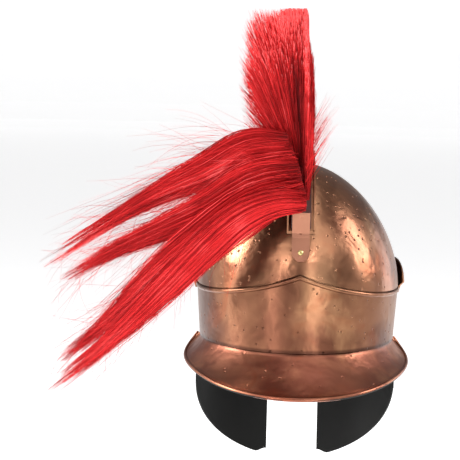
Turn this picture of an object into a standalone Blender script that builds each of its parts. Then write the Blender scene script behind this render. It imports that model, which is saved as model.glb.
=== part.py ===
"""A copper helmet with a neck guard, hinged cheek guards and a red horsehair crest.

Metres, +Z up. The nape faces -Y and the face opening faces +Y. The origin is the centre of
the neck opening, level with the lower edge of the band.
"""

from math import asin, cos, pi, radians, sin, sqrt

import bmesh
import bpy
from mathutils import Matrix, Vector

# Sheet and clearances
SHEET = 0.0014
CLEARANCE = 0.0005

# Bowl
SKULL_HALF_WIDTH = 0.1010
SKULL_HALF_DEPTH = 0.1150
SPRING_HEIGHT = 0.0540
DOME_HEIGHT = 0.1205
DOME_EXPONENT = 1.8
SKIRT_LENGTH = 0.0080
SKULL_COLUMNS = 48
SKULL_ROWS = 10
APEX_RING = 0.004

# Band round the bowl
BAND_FOOT_INSET = 0.0035
SEAM_SIDE_HEIGHT = 0.0520
SEAM_PEAK_RISE = 0.0240
SEAM_PEAK_SPREAD = radians(110)
SEAM_PEAK_CURVE = 3.1
BEAD_DEPTH = 0.0045
BEAD_SWELL = 0.0014
FACE_EDGE_HEIGHT = 0.0400
FACE_EDGE_START = radians(97)
FACE_EDGE_END = radians(112)
BAND_COLUMNS = 64

# Neck guard
GUARD_LAP = 0.0070
NECK_REACH = 0.0450
NECK_SIDE_REACH = 0.0145
NECK_DROP = 0.0315
NECK_SIDE_DROP = 0.0195
NECK_SPAN = radians(97)
NECK_END_ROUNDNESS = 6
NECK_END_CROWDING = 0.15
NECK_COLUMNS = 44
NECK_ROWS = 5
RIM_RADIUS = 0.0020
RIM_STEPS = 6

# Frontlet over the brow
FRONTLET_SPAN = radians(86)
FRONTLET_HALF_HEIGHT = 0.0160
FRONTLET_MID_HEIGHT = 0.0600
FRONTLET_PEAK = 0.0120
FRONTLET_LOBE_DROP = 0.0070
FRONTLET_LOBE_START = 0.80
FRONTLET_PEAK_SPREAD = radians(20)
FRONTLET_FOOT_OFFSET = 0.0022
FRONTLET_TOP_OFFSET = 0.0062
FRONTLET_END_ROUNDNESS = 14
FRONTLET_END_SHARE = 0.12
FRONTLET_END_CROWDING = 0.4
FRONTLET_COLUMNS = 36
FRONTLET_ROWS = 5

# Cheek guards
CHEEK_SIDE_INSET = 0.0040
CHEEK_FRONT_INSET = 0.0070
CHEEK_HALF_WIDTH = SKULL_HALF_WIDTH - CHEEK_SIDE_INSET
CHEEK_HALF_DEPTH = SKULL_HALF_DEPTH - CHEEK_FRONT_INSET
CHEEK_TAPER = 0.16
CHEEK_FLARE = 0.0035
CHEEK_FLARE_DEPTH = 0.0450
CHEEK_TOP = 0.0315
CHEEK_TAPER_HEIGHT = 0.0100
CHEEK_REAR_ANGLE = radians(-2)
CHEEK_FRONT_ANGLE = radians(74.5)
CHEEK_CORNER_DROP = 0.0520
CHEEK_DEPTH = 0.0940
CHEEK_FULLNESS = 0.93
CHEEK_TIP_ROUND = 0.0060
CHEEK_TIP_START = radians(67)
CHEEK_REAR_TOP = -0.0430
CHEEK_REAR_RISE = (radians(13), radians(25))
CHEEK_EYE_CUT = (radians(44), CHEEK_FRONT_ANGLE)
CHEEK_EYE_TOP = -0.0450
CHEEK_COLUMNS = 18
CHEEK_ROWS = 8

# Hinges
HINGE_ANGLE = radians(36)
HINGE_HEIGHT = 0.0360
HINGE_OUTSET = 0.0010
KNUCKLE_RADIUS = 0.0026
PIN_RADIUS = 0.0011
BORE_CLEARANCE = 0.0004
KNUCKLE_LENGTH = 0.0160
SIDE_KNUCKLE_LENGTH = 0.0070
KNUCKLE_GAP = 0.0005
PIN_HEAD_RADIUS = 0.0020
PIN_HEAD_LENGTH = 0.0010
HINGE_SIDES = 12
LEAF_THICKNESS = 0.0010
LEAF_HEIGHT = 0.0160
LEAF_SETBACK = 0.0036
STRAP_LAP = 0.0085
FUSE_DEPTH = 0.0003

# Crest rail
RAIL_WIDTH = 0.0270
RAIL_HEIGHT = 0.0120
RAIL_REAR = radians(32)
RAIL_FRONT = radians(142)
RAIL_STATIONS = 22
RAIL_STANDOFF = 0.0006
RAIL_END_BLEND = radians(25)

# Crest clips
CLIP_WIDTH = 0.0170
CLIP_PLATE_HEIGHT = 0.0205
CLIP_TONGUE = 0.0260
CLIP_THICKNESS = 0.0012
CLIP_GAP = 0.0008
CLIP_STEPS = 7
TONGUE_TIP_SHARE = 0.3
RIVET_RADIUS = 0.0026
RIVET_HEIGHT = 0.0012

# Crest hair
BASE_HALF_WIDTH = 0.0095
BASE_HEIGHT = 0.0080
BASE_END_GAP = 0.0020
BRUSH_REAR_Y = -0.0620
BRUSH_FRONT_Y = 0.0780
BRUSH_TOP = 0.3280
BRUSH_REACH = 0.0560
BRUSH_FRONT_DROP = 0.1000
BRUSH_REAR_DROP = 0.0400
BRUSH_PEAK_Y = 0.0100
# Rows of the brush's spread: share of its height, then left and right as shares of BRUSH_REACH
BRUSH_SPREAD = [
    (0.00, 0.17, 0.17),
    (0.12, 0.48, 0.19),
    (0.24, 0.86, 0.20),
    (0.38, 0.86, 0.16),
    (0.52, 0.96, 0.17),
    (0.66, 0.98, 0.16),
    (0.80, 0.94, 0.08),
    (0.90, 0.87, 0.05),
    (1.00, 0.76, 0.04),
]
BRUSH_STATIONS = 22
BRUSH_LEVELS = 9
BRUSH_LOCKS = 7
BRUSH_LOCK_RELIEF = 0.0030
BRUSH_FAN = 0.0300
BRUSH_END_SHARE = 0.4
BRUSH_WAVES = 7.0
HAIR_FOOT_GAP = 0.0006
BRUSH_FOOT_ROOM = 1.7

# Long tail of hair
TAIL_REACH = 0.2500
TAIL_HEAD_SPAN = (radians(34), radians(53))
TAIL_HEAD_STATIONS = 5
TAIL_HEAD_HEIGHT = 0.0110
LOCK_SIDES = 10
LOCK_STATIONS = 13
LOCK_FLATNESS = 0.42


def smooth_step(value, low, high):
    """Goes from 0 at low to 1 at high, level at both ends."""
    share = min(max((value - low) / (high - low), 0.0), 1.0)
    return share * share * (3.0 - 2.0 * share)


def mix(a, b, share):
    return a + (b - a) * share


def table_value(rows, share, column):
    """Value of a column at a share of the table's first column."""
    for low, high in zip(rows, rows[1:]):
        if share <= high[0]:
            return mix(low[column], high[column], (share - low[0]) / (high[0] - low[0]))
    return rows[-1][column]


def plain_material(name, colour, roughness, metallic):
    material = bpy.data.materials.new(name)
    material.use_nodes = True
    shader = material.node_tree.nodes["Principled BSDF"]
    shader.inputs["Base Color"].default_value = (*colour, 1.0)
    shader.inputs["Roughness"].default_value = roughness
    shader.inputs["Metallic"].default_value = metallic
    return material


def finish_object(name, bm, material, parent=None):
    bmesh.ops.recalc_face_normals(bm, faces=bm.faces)
    mesh = bpy.data.meshes.new(name)
    bm.to_mesh(mesh)
    bm.free()
    mesh.materials.append(material)
    mesh.shade_smooth()
    mesh.set_sharp_from_angle(angle=radians(40))
    obj = bpy.data.objects.new(name, mesh)
    bpy.context.scene.collection.objects.link(obj)
    if parent is not None:
        obj.parent = parent
        obj.matrix_parent_inverse = Matrix.Translation(parent.location).inverted()
    return obj


def add_loft(bm, sections, ring=False, strip_ends=False):
    """Joins closed sections of equal length into one closed body."""
    rows = [[bm.verts.new(point) for point in section] for section in sections]
    count = len(rows[0])
    pairs = list(zip(rows, rows[1:]))
    if ring:
        pairs.append((rows[-1], rows[0]))
    for near, far in pairs:
        for i in range(count):
            j = (i + 1) % count
            bm.faces.new((near[i], near[j], far[j], far[i]))
    if ring:
        return
    for row in (rows[0], rows[-1]):
        if strip_ends:
            for i in range(count // 2 - 1):
                bm.faces.new((row[i], row[i + 1], row[count - 2 - i], row[count - 1 - i]))
        else:
            bm.faces.new(row)


def loft(name, sections, material, parent=None, ring=False, strip_ends=False):
    bm = bmesh.new()
    add_loft(bm, sections, ring, strip_ends)
    return finish_object(name, bm, material, parent)


def sheet_outline(path, thickness):
    """Closes a flat path of (out, up) pairs into a sheet of the given thickness, on its left side."""
    points = [Vector(point) for point in path]
    inner = []
    for i, point in enumerate(points):
        before = points[max(i - 1, 0)]
        after = points[min(i + 1, len(points) - 1)]
        along = (after - before).normalized()
        inner.append(point + Vector((-along.y, along.x)) * thickness)
    return [tuple(point) for point in points + inner[::-1]]


def oval_frame(angle, half_width, half_depth):
    """A point of the plan oval at an angle from the nape, and the way out of the oval there."""
    place = Vector((half_width * sin(angle), -half_depth * cos(angle), 0.0))
    way_out = Vector((half_depth * sin(angle), -half_width * cos(angle), 0.0)).normalized()
    return place, way_out


def seam_height(angle):
    """Height of the seam between bowl and band, with its point over the nape."""
    turn = abs((angle + pi) % (2 * pi) - pi)
    rise = SEAM_PEAK_RISE * max(1.0 - turn / SEAM_PEAK_SPREAD, 0.0) ** SEAM_PEAK_CURVE
    return SEAM_SIDE_HEIGHT + rise


def band_foot_height(angle):
    """Lower edge of the band: level round the nape, raised over the face."""
    turn = abs((angle + pi) % (2 * pi) - pi)
    return FACE_EDGE_HEIGHT * smooth_step(turn, FACE_EDGE_START, FACE_EDGE_END)


def band_inset(height):
    """How far the band's outside lies inside the bowl's widest oval."""
    return BAND_FOOT_INSET * (1.0 - min(max(height / SEAM_SIDE_HEIGHT, 0.0), 1.0))


def band_point(angle, height, outset=0.0):
    place, way_out = oval_frame(angle, SKULL_HALF_WIDTH, SKULL_HALF_DEPTH)
    point = place + way_out * (outset - band_inset(height))
    return Vector((point.x, point.y, height))


def dome_point(angle, lift, inset=0.0):
    """Point of the bowl at an angle from the nape and a lift from 0 at the spring to pi / 2."""
    share = max(cos(lift), 0.0) ** (2.0 / DOME_EXPONENT)
    rise = max(sin(lift), 0.0) ** (2.0 / DOME_EXPONENT)
    return Vector((
        (SKULL_HALF_WIDTH - inset) * share * sin(angle),
        -(SKULL_HALF_DEPTH - inset) * share * cos(angle),
        SPRING_HEIGHT + (DOME_HEIGHT - inset) * rise,
    ))


def lift_at_height(height):
    share = min(max((height - SPRING_HEIGHT) / DOME_HEIGHT, 0.0), 1.0)
    return asin(share ** (DOME_EXPONENT / 2.0))


def build_skull(material):
    """Bowl with a short skirt that tucks inside the band."""
    angles = [2 * pi * i / SKULL_COLUMNS for i in range(SKULL_COLUMNS)]
    last_lift = pi / 2 - APEX_RING / SKULL_HALF_WIDTH

    def dome_rings(inset):
        rings = []
        for row in range(SKULL_ROWS + 1):
            ring = []
            for angle in angles:
                first = lift_at_height(seam_height(angle) + 2 * CLEARANCE)
                lift = mix(first, last_lift, (row / SKULL_ROWS) ** 0.9)
                point = dome_point(angle, lift, inset)
                if row == 0:
                    point.z = max(point.z, seam_height(angle) + 2 * CLEARANCE)
                ring.append(point)
            rings.append(ring)
        return rings

    def skirt_ring(drop, inset):
        ring = []
        for angle in angles:
            height = seam_height(angle) - drop
            share = dome_point(angle, lift_at_height(seam_height(angle)))
            limit = share.xy.length / oval_frame(angle, SKULL_HALF_WIDTH, SKULL_HALF_DEPTH)[0].length
            point = band_point(angle, height, -(SHEET + CLEARANCE + inset))
            point.x *= limit
            point.y *= limit
            ring.append(point)
        return ring

    outside = dome_rings(0.0)
    inside = dome_rings(SHEET)
    sections = outside[::-1]
    sections.append(skirt_ring(-CLEARANCE, 0.0))
    sections.append(skirt_ring(SKIRT_LENGTH, 0.0))
    sections.append(skirt_ring(SKIRT_LENGTH, SHEET))
    sections.append(skirt_ring(-CLEARANCE, SHEET))
    sections += inside[1:]
    return loft("skull", sections, material)


def build_band(material):
    """Band round the bowl, with a raised bead along its upper edge."""
    sections = []
    for i in range(BAND_COLUMNS):
        angle = 2 * pi * i / BAND_COLUMNS
        foot = band_foot_height(angle)
        top = seam_height(angle)
        limit = dome_point(angle, lift_at_height(top)).xy.length
        shrink = SKULL_HALF_WIDTH - limit / oval_frame(angle, 1.0, SKULL_HALF_DEPTH / SKULL_HALF_WIDTH)[0].length
        levels = [
            (foot, 0.0),
            (mix(foot, top - BEAD_DEPTH, 0.5), 0.0),
            (top - BEAD_DEPTH, 0.0),
            (top - 0.7 * BEAD_DEPTH, BEAD_SWELL),
            (top - 0.3 * BEAD_DEPTH, BEAD_SWELL),
            (top, 0.0),
        ]
        section = []
        for height, swell in levels:
            lean = shrink * (height - foot) / (top - foot)
            section.append(band_point(angle, height, swell - lean))
        for height, _ in levels[::-1]:
            lean = shrink * (height - foot) / (top - foot)
            section.append(band_point(angle, height, -SHEET - lean))
        sections.append(section)
    return loft("neck_band", sections, material, ring=True)


def neck_profile(share):
    """Section of the neck guard at a share of its span from the nape, as (out, up) pairs."""
    turn = share * NECK_SPAN
    fall_off = sqrt(max(1.0 - abs(share) ** NECK_END_ROUNDNESS, 0.0))
    blend = cos(turn) ** 3 if abs(turn) < pi / 2 else 0.0
    reach = mix(NECK_SIDE_REACH, NECK_REACH, blend) * fall_off + RIM_RADIUS + 2 * CLEARANCE
    drop = mix(NECK_SIDE_DROP, NECK_DROP, blend) * fall_off + RIM_RADIUS
    lap_out = -SHEET - CLEARANCE
    path = [(lap_out, GUARD_LAP), (lap_out, 0.0)]
    for row in range(1, NECK_ROWS + 1):
        along = row / NECK_ROWS
        sag = 0.10 * drop * sin(pi * along)
        path.append((mix(lap_out, reach, along), -2 * CLEARANCE - drop * along - sag))
    return path


def build_neck_guard(material):
    sections = []
    for i in range(NECK_COLUMNS + 1):
        share = -1.0 + 2.0 * i / NECK_COLUMNS
        share = mix(share, sin(share * pi / 2), NECK_END_CROWDING)
        angle = share * NECK_SPAN
        outline = sheet_outline(neck_profile(share)[::-1], SHEET)
        tip = Vector(outline[0])
        under = Vector(outline[-1])
        middle = (tip + under) / 2
        away = Vector((tip.x - outline[1][0], tip.y - outline[1][1])).normalized()
        side = Vector((-away.y, away.x))
        bead = []
        for step in range(RIM_STEPS + 1):
            around = mix(-0.75 * pi, 0.75 * pi, step / RIM_STEPS)
            bead.append(tuple(middle + (away * cos(around) + side * sin(around)) * RIM_RADIUS))
        section = []
        for out, up in outline[1:-1] + bead:
            point = band_point(angle, 0.0, out)
            section.append(Vector((point.x, point.y, up)))
        sections.append(section)
    return loft("neck_guard", sections, material)


def build_frontlet(material):
    """Plate over the brow with a low point, ending in a round lobe at each temple."""
    sections = []
    for i in range(FRONTLET_COLUMNS + 1):
        share = -1.0 + 2.0 * i / FRONTLET_COLUMNS
        share = mix(share, sin(share * pi / 2), FRONTLET_END_CROWDING)
        turn = share * FRONTLET_SPAN
        rounding = sqrt(max(1.0 - abs(share) ** FRONTLET_END_ROUNDNESS, 0.0))
        half = FRONTLET_HALF_HEIGHT * max(rounding, FRONTLET_END_SHARE)
        peak = FRONTLET_PEAK * max(1.0 - abs(turn) / FRONTLET_PEAK_SPREAD, 0.0)
        droop = FRONTLET_LOBE_DROP * smooth_step(abs(share), FRONTLET_LOBE_START, 1.0)
        outer = []
        inner = []
        for row in range(FRONTLET_ROWS + 1):
            level = row / FRONTLET_ROWS
            height = FRONTLET_MID_HEIGHT - droop + half * (2.0 * level - 1.0) + peak * level
            offset = mix(FRONTLET_FOOT_OFFSET, FRONTLET_TOP_OFFSET, level)
            outer.append(band_point(pi + turn, height, offset + SHEET))
            inner.append(band_point(pi + turn, height, offset))
        sections.append(outer + inner[::-1])
    return loft("frontlet", sections, material, strip_ends=True)


def cheek_point(angle, height, inset, side):
    half_depth = CHEEK_HALF_DEPTH + (height - CHEEK_TAPER_HEIGHT) * CHEEK_TAPER
    half_width = CHEEK_HALF_WIDTH + CHEEK_FLARE * smooth_step(-height, 0.0, CHEEK_FLARE_DEPTH)
    place = Vector((half_width * cos(angle), half_depth * sin(angle), 0.0))
    way_in = Vector((-half_depth * cos(angle), -half_width * sin(angle), 0.0)).normalized()
    point = place + way_in * inset
    return Vector((side * point.x, point.y, height))


def cheek_edges(angle):
    """Lower and upper edge of a cheek guard at an angle from the wearer's ear to the chin."""
    low = -CHEEK_CORNER_DROP - CHEEK_DEPTH * max(sin(angle), 0.0) ** CHEEK_FULLNESS
    low += CHEEK_TIP_ROUND * smooth_step(angle, CHEEK_TIP_START, CHEEK_FRONT_ANGLE)
    high = mix(CHEEK_REAR_TOP, CHEEK_TOP, smooth_step(angle, *CHEEK_REAR_RISE))
    high = mix(high, CHEEK_EYE_TOP, smooth_step(angle, *CHEEK_EYE_CUT))
    return low, high


def hinge_frame(side):
    """Middle of a hinge's axis, the way along it towards the face, and the way out."""
    angle = HINGE_ANGLE
    place, way_out = oval_frame(pi / 2 + angle, SKULL_HALF_WIDTH, SKULL_HALF_DEPTH)
    centre = place + way_out * (HINGE_OUTSET - BAND_FOOT_INSET)
    along = Vector((-way_out.y, way_out.x, 0.0))
    mirror = Vector((side, 1.0, 1.0))
    centre = Vector((centre.x * mirror.x, centre.y, HINGE_HEIGHT))
    return centre, Vector((along.x * side, along.y, 0.0)), Vector((way_out.x * side, way_out.y, 0.0))


def knuckle_sections(side, start, end, radius, bore):
    """A tube along the hinge axis, as sections round its wall; a bore of 0 gives a solid rod."""
    centre, along, way_out = hinge_frame(side)
    up = Vector((0.0, 0.0, 1.0))

    def circle(distance, size):
        ring = []
        for step in range(HINGE_SIDES):
            turn = 2 * pi * step / HINGE_SIDES
            ring.append(centre + along * distance + (way_out * cos(turn) + up * sin(turn)) * size)
        return ring

    if bore == 0.0:
        return [circle(start, radius), circle(end, radius)]
    return [circle(start, bore), circle(start, radius), circle(end, radius), circle(end, bore)]


def tube_body(name, side, start, end, radius, bore):
    bm = bmesh.new()
    add_loft(bm, knuckle_sections(side, start, end, radius, bore), ring=True)
    bmesh.ops.recalc_face_normals(bm, faces=bm.faces)
    mesh = bpy.data.meshes.new(name)
    bm.to_mesh(mesh)
    bm.free()
    return bpy.data.objects.new(name, mesh)


def add_union(target, tool):
    bpy.context.scene.collection.objects.link(tool)
    tool.hide_render = True
    tool.display_type = "WIRE"
    tool.hide_set(True)
    union = target.modifiers.new(tool.name, "BOOLEAN")
    union.operation = "UNION"
    union.object = tool
    union.solver = "EXACT"


def box_between(name, corners_low, corners_high):
    """A block from two rings of four points."""
    bm = bmesh.new()
    add_loft(bm, [corners_low, corners_high])
    bmesh.ops.recalc_face_normals(bm, faces=bm.faces)
    mesh = bpy.data.meshes.new(name)
    bm.to_mesh(mesh)
    bm.free()
    return bpy.data.objects.new(name, mesh)


def hinge_block(name, side, half_length, out_low, out_high, up_low, up_high, start=0.0):
    """A block in the hinge's own directions: along its axis, outwards and up."""
    centre, along, way_out = hinge_frame(side)
    up = Vector((0.0, 0.0, 1.0))
    rings = []
    for distance in (start - half_length, start + half_length):
        base = centre + along * distance
        rings.append([
            base + way_out * out_low + up * up_low,
            base + way_out * out_high + up * up_low,
            base + way_out * out_high + up * up_high,
            base + way_out * out_low + up * up_high,
        ])
    return box_between(name, rings[0], rings[1])


def build_cheek_guard(label, side, material):
    """Curved plate over one cheek, with the middle knuckle of its hinge."""
    centre, _, _ = hinge_frame(side)
    axis = bpy.data.objects.new(f"hinge_axis_{label}", None)
    axis.location = centre
    bpy.context.scene.collection.objects.link(axis)
    sections = []
    for i in range(CHEEK_COLUMNS + 1):
        angle = mix(CHEEK_REAR_ANGLE, CHEEK_FRONT_ANGLE, i / CHEEK_COLUMNS)
        low, high = cheek_edges(angle)
        outer = []
        inner = []
        for row in range(CHEEK_ROWS + 1):
            height = mix(low, high, row / CHEEK_ROWS)
            outer.append(cheek_point(angle, height, 0.0, side))
            inner.append(cheek_point(angle, height, SHEET, side))
        sections.append(outer + inner[::-1])
    plate = loft(f"cheek_guard_{label}", sections, material, axis, strip_ends=True)
    half = KNUCKLE_LENGTH / 2
    bore = PIN_RADIUS + BORE_CLEARANCE
    knuckle = tube_body(f"middle_knuckle_{label}", side, -half, half, KNUCKLE_RADIUS, bore)
    strap_out = -KNUCKLE_RADIUS
    strap = hinge_block(f"hinge_strap_{label}", side, half - KNUCKLE_GAP, strap_out - SHEET,
                        -PIN_RADIUS - 2 * BORE_CLEARANCE, CHEEK_TOP - HINGE_HEIGHT - STRAP_LAP, -BORE_CLEARANCE)
    add_union(plate, knuckle)
    add_union(plate, strap)
    return plate


def build_hinge_leaf(label, side, material):
    """Fixed half of a hinge: a leaf inside the band with two knuckles."""
    half = KNUCKLE_LENGTH / 2
    outer_end = half + KNUCKLE_GAP + SIDE_KNUCKLE_LENGTH
    leaf_out = -LEAF_SETBACK
    leaf = hinge_block(f"leaf_plate_{label}", side, outer_end, leaf_out - LEAF_THICKNESS, leaf_out,
                       KNUCKLE_RADIUS + KNUCKLE_GAP, LEAF_HEIGHT)
    bpy.context.scene.collection.objects.link(leaf)
    leaf.name = f"hinge_leaf_{label}"
    leaf.data.materials.append(material)
    for end, direction in (("rear", -1), ("front", 1)):
        near = direction * (half + KNUCKLE_GAP)
        far = direction * outer_end
        start, stop = min(near, far), max(near, far)
        bore = PIN_RADIUS + BORE_CLEARANCE
        knuckle = tube_body(f"{end}_knuckle_{label}", side, start, stop, KNUCKLE_RADIUS, bore)
        strap = hinge_block(f"{end}_strap_{label}", side, (stop - start) / 2 - FUSE_DEPTH,
                            leaf_out - LEAF_THICKNESS + FUSE_DEPTH, -bore - BORE_CLEARANCE / 2,
                            -PIN_RADIUS, KNUCKLE_RADIUS + 3 * KNUCKLE_GAP, (start + stop) / 2)
        add_union(leaf, knuckle)
        add_union(leaf, strap)
    return leaf


def build_hinge_pin(label, side, material):
    """Pin with a head at each end, through all the knuckles of one hinge."""
    end = KNUCKLE_LENGTH / 2 + 2 * KNUCKLE_GAP + SIDE_KNUCKLE_LENGTH
    sections = []
    for distance, radius in (
        (-end - PIN_HEAD_LENGTH, PIN_HEAD_RADIUS),
        (-end, PIN_HEAD_RADIUS),
        (-end, PIN_RADIUS),
        (end, PIN_RADIUS),
        (end, PIN_HEAD_RADIUS),
        (end + PIN_HEAD_LENGTH, PIN_HEAD_RADIUS),
    ):
        sections.append(knuckle_sections(side, distance, distance, radius, 0.0)[0])
    return loft(f"hinge_pin_{label}", sections, material)


def midline_frame(lift, standoff):
    """Point over the bowl's midline, the way along it to the face, and the way out of the bowl."""
    step = 0.01

    def place(value):
        turn = 0.0 if value <= pi / 2 else pi
        return dome_point(turn, value if value <= pi / 2 else pi - value)

    along = (place(lift + step) - place(lift - step)).normalized()
    way_out = Vector((0.0, -along.z, along.y))
    return place(lift) + way_out * standoff, along, way_out


def rail_up(lift):
    """Way up from the rail's floor: upright at both ends, square to the bowl between them."""
    _, _, way_out = midline_frame(lift, 0.0)
    upright = Vector((0.0, 0.0, 1.0 / way_out.z))
    from_end = min(lift - RAIL_REAR, RAIL_FRONT - lift)
    return upright.lerp(way_out, smooth_step(from_end, 0.0, RAIL_END_BLEND))


def rail_lifts(first, last):
    return [mix(first, last, i / RAIL_STATIONS) for i in range(RAIL_STATIONS + 1)]


def build_rail(material):
    """Channel along the top of the bowl that holds the crest."""
    half = RAIL_WIDTH / 2
    path = [
        (-half, RAIL_HEIGHT), (-half, 0.0), (half, 0.0), (half, RAIL_HEIGHT),
        (half - SHEET, RAIL_HEIGHT), (half - SHEET, SHEET), (-half + SHEET, SHEET), (-half + SHEET, RAIL_HEIGHT),
    ]
    sections = []
    for lift in rail_lifts(RAIL_REAR, RAIL_FRONT):
        centre, _, _ = midline_frame(lift, RAIL_STANDOFF)
        way_up = rail_up(lift)
        sections.append([centre + Vector((across, 0.0, 0.0)) + way_up * up for across, up in path])
    return loft("crest_rail", sections, material, strip_ends=True)


def build_crest_base(material):
    """Block in the rail that the hair is set in."""
    half = BASE_HALF_WIDTH
    foot = SHEET + CLEARANCE
    top = foot + BASE_HEIGHT
    sections = []
    inset = BASE_END_GAP / SKULL_HALF_DEPTH
    for lift in rail_lifts(RAIL_REAR + inset, RAIL_FRONT - inset):
        centre, _, _ = midline_frame(lift, RAIL_STANDOFF)
        way_up = rail_up(lift)
        section = []
        for across, up in ((-half, foot), (half, foot), (half, top), (-half, top)):
            section.append(centre + Vector((across, 0.0, 0.0)) + way_up * up)
        sections.append(section)
    return loft("crest_base", sections, material)


def build_clip(label, lift, towards, material, brass):
    """Bent strap over one end of the rail: a plate across its mouth and a riveted tongue."""
    centre, _, way_out = midline_frame(lift, RAIL_STANDOFF)
    outward = Vector((0.0, towards, 0.0))
    half = CLIP_WIDTH / 2
    corner = centre + outward * (CLIP_GAP + CLIP_THICKNESS)
    plate_top = corner + Vector((0.0, 0.0, CLIP_PLATE_HEIGHT))
    bend = corner + Vector((0.0, 0.0, CLIP_THICKNESS / 2))

    def tongue_frame(length):
        moved = lift + towards * (length + CLIP_GAP) / SKULL_HALF_DEPTH
        point, _, normal = midline_frame(moved, CLIP_THICKNESS + RAIL_STANDOFF)
        return point, normal

    frames = [(plate_top, outward, half), (bend, (outward + way_out).normalized(), half)]
    for step in range(1, CLIP_STEPS + 1):
        length = CLIP_TONGUE * step / CLIP_STEPS
        past = max(length - (CLIP_TONGUE - half), 0.0) / half
        share = max(sqrt(max(1.0 - past ** 2, 0.0)), TONGUE_TIP_SHARE)
        frames.append((*tongue_frame(length), half * share))
    sections = []
    for point, normal, width in frames:
        section = []
        for across, depth in ((-width, 0.0), (width, 0.0), (width, CLIP_THICKNESS), (-width, CLIP_THICKNESS)):
            section.append(point + Vector((across, 0.0, 0.0)) - normal * depth)
        sections.append(section)
    clip = loft(f"{label}_clip", sections, material)
    place, normal = tongue_frame(CLIP_TONGUE - half)
    rivet = build_rivet(f"{label}_clip_rivet", place + normal * CLEARANCE, normal, brass)
    return clip, rivet


def build_rivet(name, place, normal, material):
    """Low domed rivet head standing on a surface."""
    side = Vector((1.0, 0.0, 0.0))
    other = normal.cross(side).normalized()
    side = other.cross(normal).normalized()
    sections = []
    for share, rise in ((1.0, 0.0), (1.0, 0.35), (0.75, 0.8), (0.3, 1.0)):
        ring = []
        for step in range(HINGE_SIDES):
            turn = 2 * pi * step / HINGE_SIDES
            ring.append(place + (side * cos(turn) + other * sin(turn)) * RIVET_RADIUS * share
                        + normal * RIVET_HEIGHT * rise)
        sections.append(ring)
    return loft(name, sections, material)


def brush_top(y):
    """Height of the trimmed top of the brush at a place along the helmet."""
    if y < BRUSH_PEAK_Y:
        share = (y - BRUSH_PEAK_Y) / (BRUSH_REAR_Y - BRUSH_PEAK_Y)
        return BRUSH_TOP - BRUSH_REAR_DROP * share ** 2
    share = (y - BRUSH_PEAK_Y) / (BRUSH_FRONT_Y - BRUSH_PEAK_Y)
    return BRUSH_TOP - BRUSH_FRONT_DROP * share ** 2


def brush_foot(y):
    """Height of the hair's foot, on top of the block in the rail."""
    share = min(abs(y) / SKULL_HALF_DEPTH, 1.0)
    rise = (1.0 - share ** DOME_EXPONENT) ** (1.0 / DOME_EXPONENT)
    return SPRING_HEIGHT + DOME_HEIGHT * rise


def build_brush(material):
    """Standing hair of the crest in upright locks, fanned out to the left."""
    sections = []
    for i in range(BRUSH_STATIONS + 1):
        share = i / BRUSH_STATIONS
        y = mix(BRUSH_REAR_Y, BRUSH_FRONT_Y, share)
        slope_room = (RAIL_STANDOFF + SHEET + CLEARANCE + BASE_HEIGHT + HAIR_FOOT_GAP) * BRUSH_FOOT_ROOM
        foot = brush_foot(y) + slope_room
        top = brush_top(y)
        end_round = mix(BRUSH_END_SHARE, 1.0, sqrt(max(1.0 - (2.0 * share - 1.0) ** 8, 0.0)))
        ridge = BRUSH_LOCK_RELIEF * abs(sin(pi * BRUSH_LOCKS * share))
        left = []
        right = []
        for level in range(BRUSH_LEVELS + 1):
            climb = level / BRUSH_LEVELS
            height = mix(foot, top, climb)
            wave = BRUSH_LOCK_RELIEF * sin(BRUSH_WAVES * climb + 3.0 * share) * climb
            left_reach = BRUSH_REACH * table_value(BRUSH_SPREAD, climb, 1) * end_round
            right_reach = BRUSH_REACH * table_value(BRUSH_SPREAD, climb, 2) * end_round
            fan = BRUSH_FAN * (climb ** 1.5) * (share - 0.4)
            left.append(Vector((-left_reach - (ridge + wave) * climb, y + fan, height)))
            right.append(Vector((right_reach + (ridge + wave) * climb, y + fan, height)))
        sections.append(left + right[::-1])
    return loft("crest_brush", sections, material, strip_ends=True)


# Each lock's route: left and half width as shares of TAIL_REACH, rear as a share of the bowl's
# half depth, up as a share of the dome's height over its spring
TAIL_LOCKS = {
    "upper": [(0.054, 0.678, 1.207, 0.040), (0.203, 0.730, 1.139, 0.068), (0.358, 0.783, 0.951, 0.064),
              (0.526, 0.748, 0.755, 0.048), (0.737, 0.696, 0.521, 0.028), (0.978, 0.643, 0.209, 0.006)],
    "under_upper": [(0.030, 0.730, 1.100, 0.044), (0.194, 0.800, 1.009, 0.060), (0.337, 0.817, 0.828, 0.040),
                    (0.482, 0.783, 0.665, 0.006)],
    "middle": [(0.009, 0.765, 0.984, 0.048), (0.181, 0.870, 0.889, 0.072), (0.368, 0.922, 0.669, 0.060),
               (0.577, 0.852, 0.418, 0.040), (0.740, 0.765, 0.230, 0.024), (0.905, 0.696, 0.074, 0.006)],
    "inner_lower": [(-0.003, 0.817, 0.870, 0.048), (0.178, 0.957, 0.731, 0.072), (0.365, 1.009, 0.441, 0.072),
                    (0.523, 0.939, 0.176, 0.064), (0.688, 0.852, -0.159, 0.044), (0.812, 0.783, -0.397, 0.024),
                    (0.922, 0.730, -0.584, 0.006)],
    "lower": [(-0.015, 0.896, 0.767, 0.040), (0.107, 0.974, 0.752, 0.044), (0.234, 1.061, 0.628, 0.052),
              (0.363, 1.078, 0.362, 0.060), (0.513, 0.991, 0.040, 0.056), (0.677, 0.904, -0.296, 0.040),
              (0.817, 0.817, -0.570, 0.020), (0.951, 0.748, -0.812, 0.006)],
}


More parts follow.
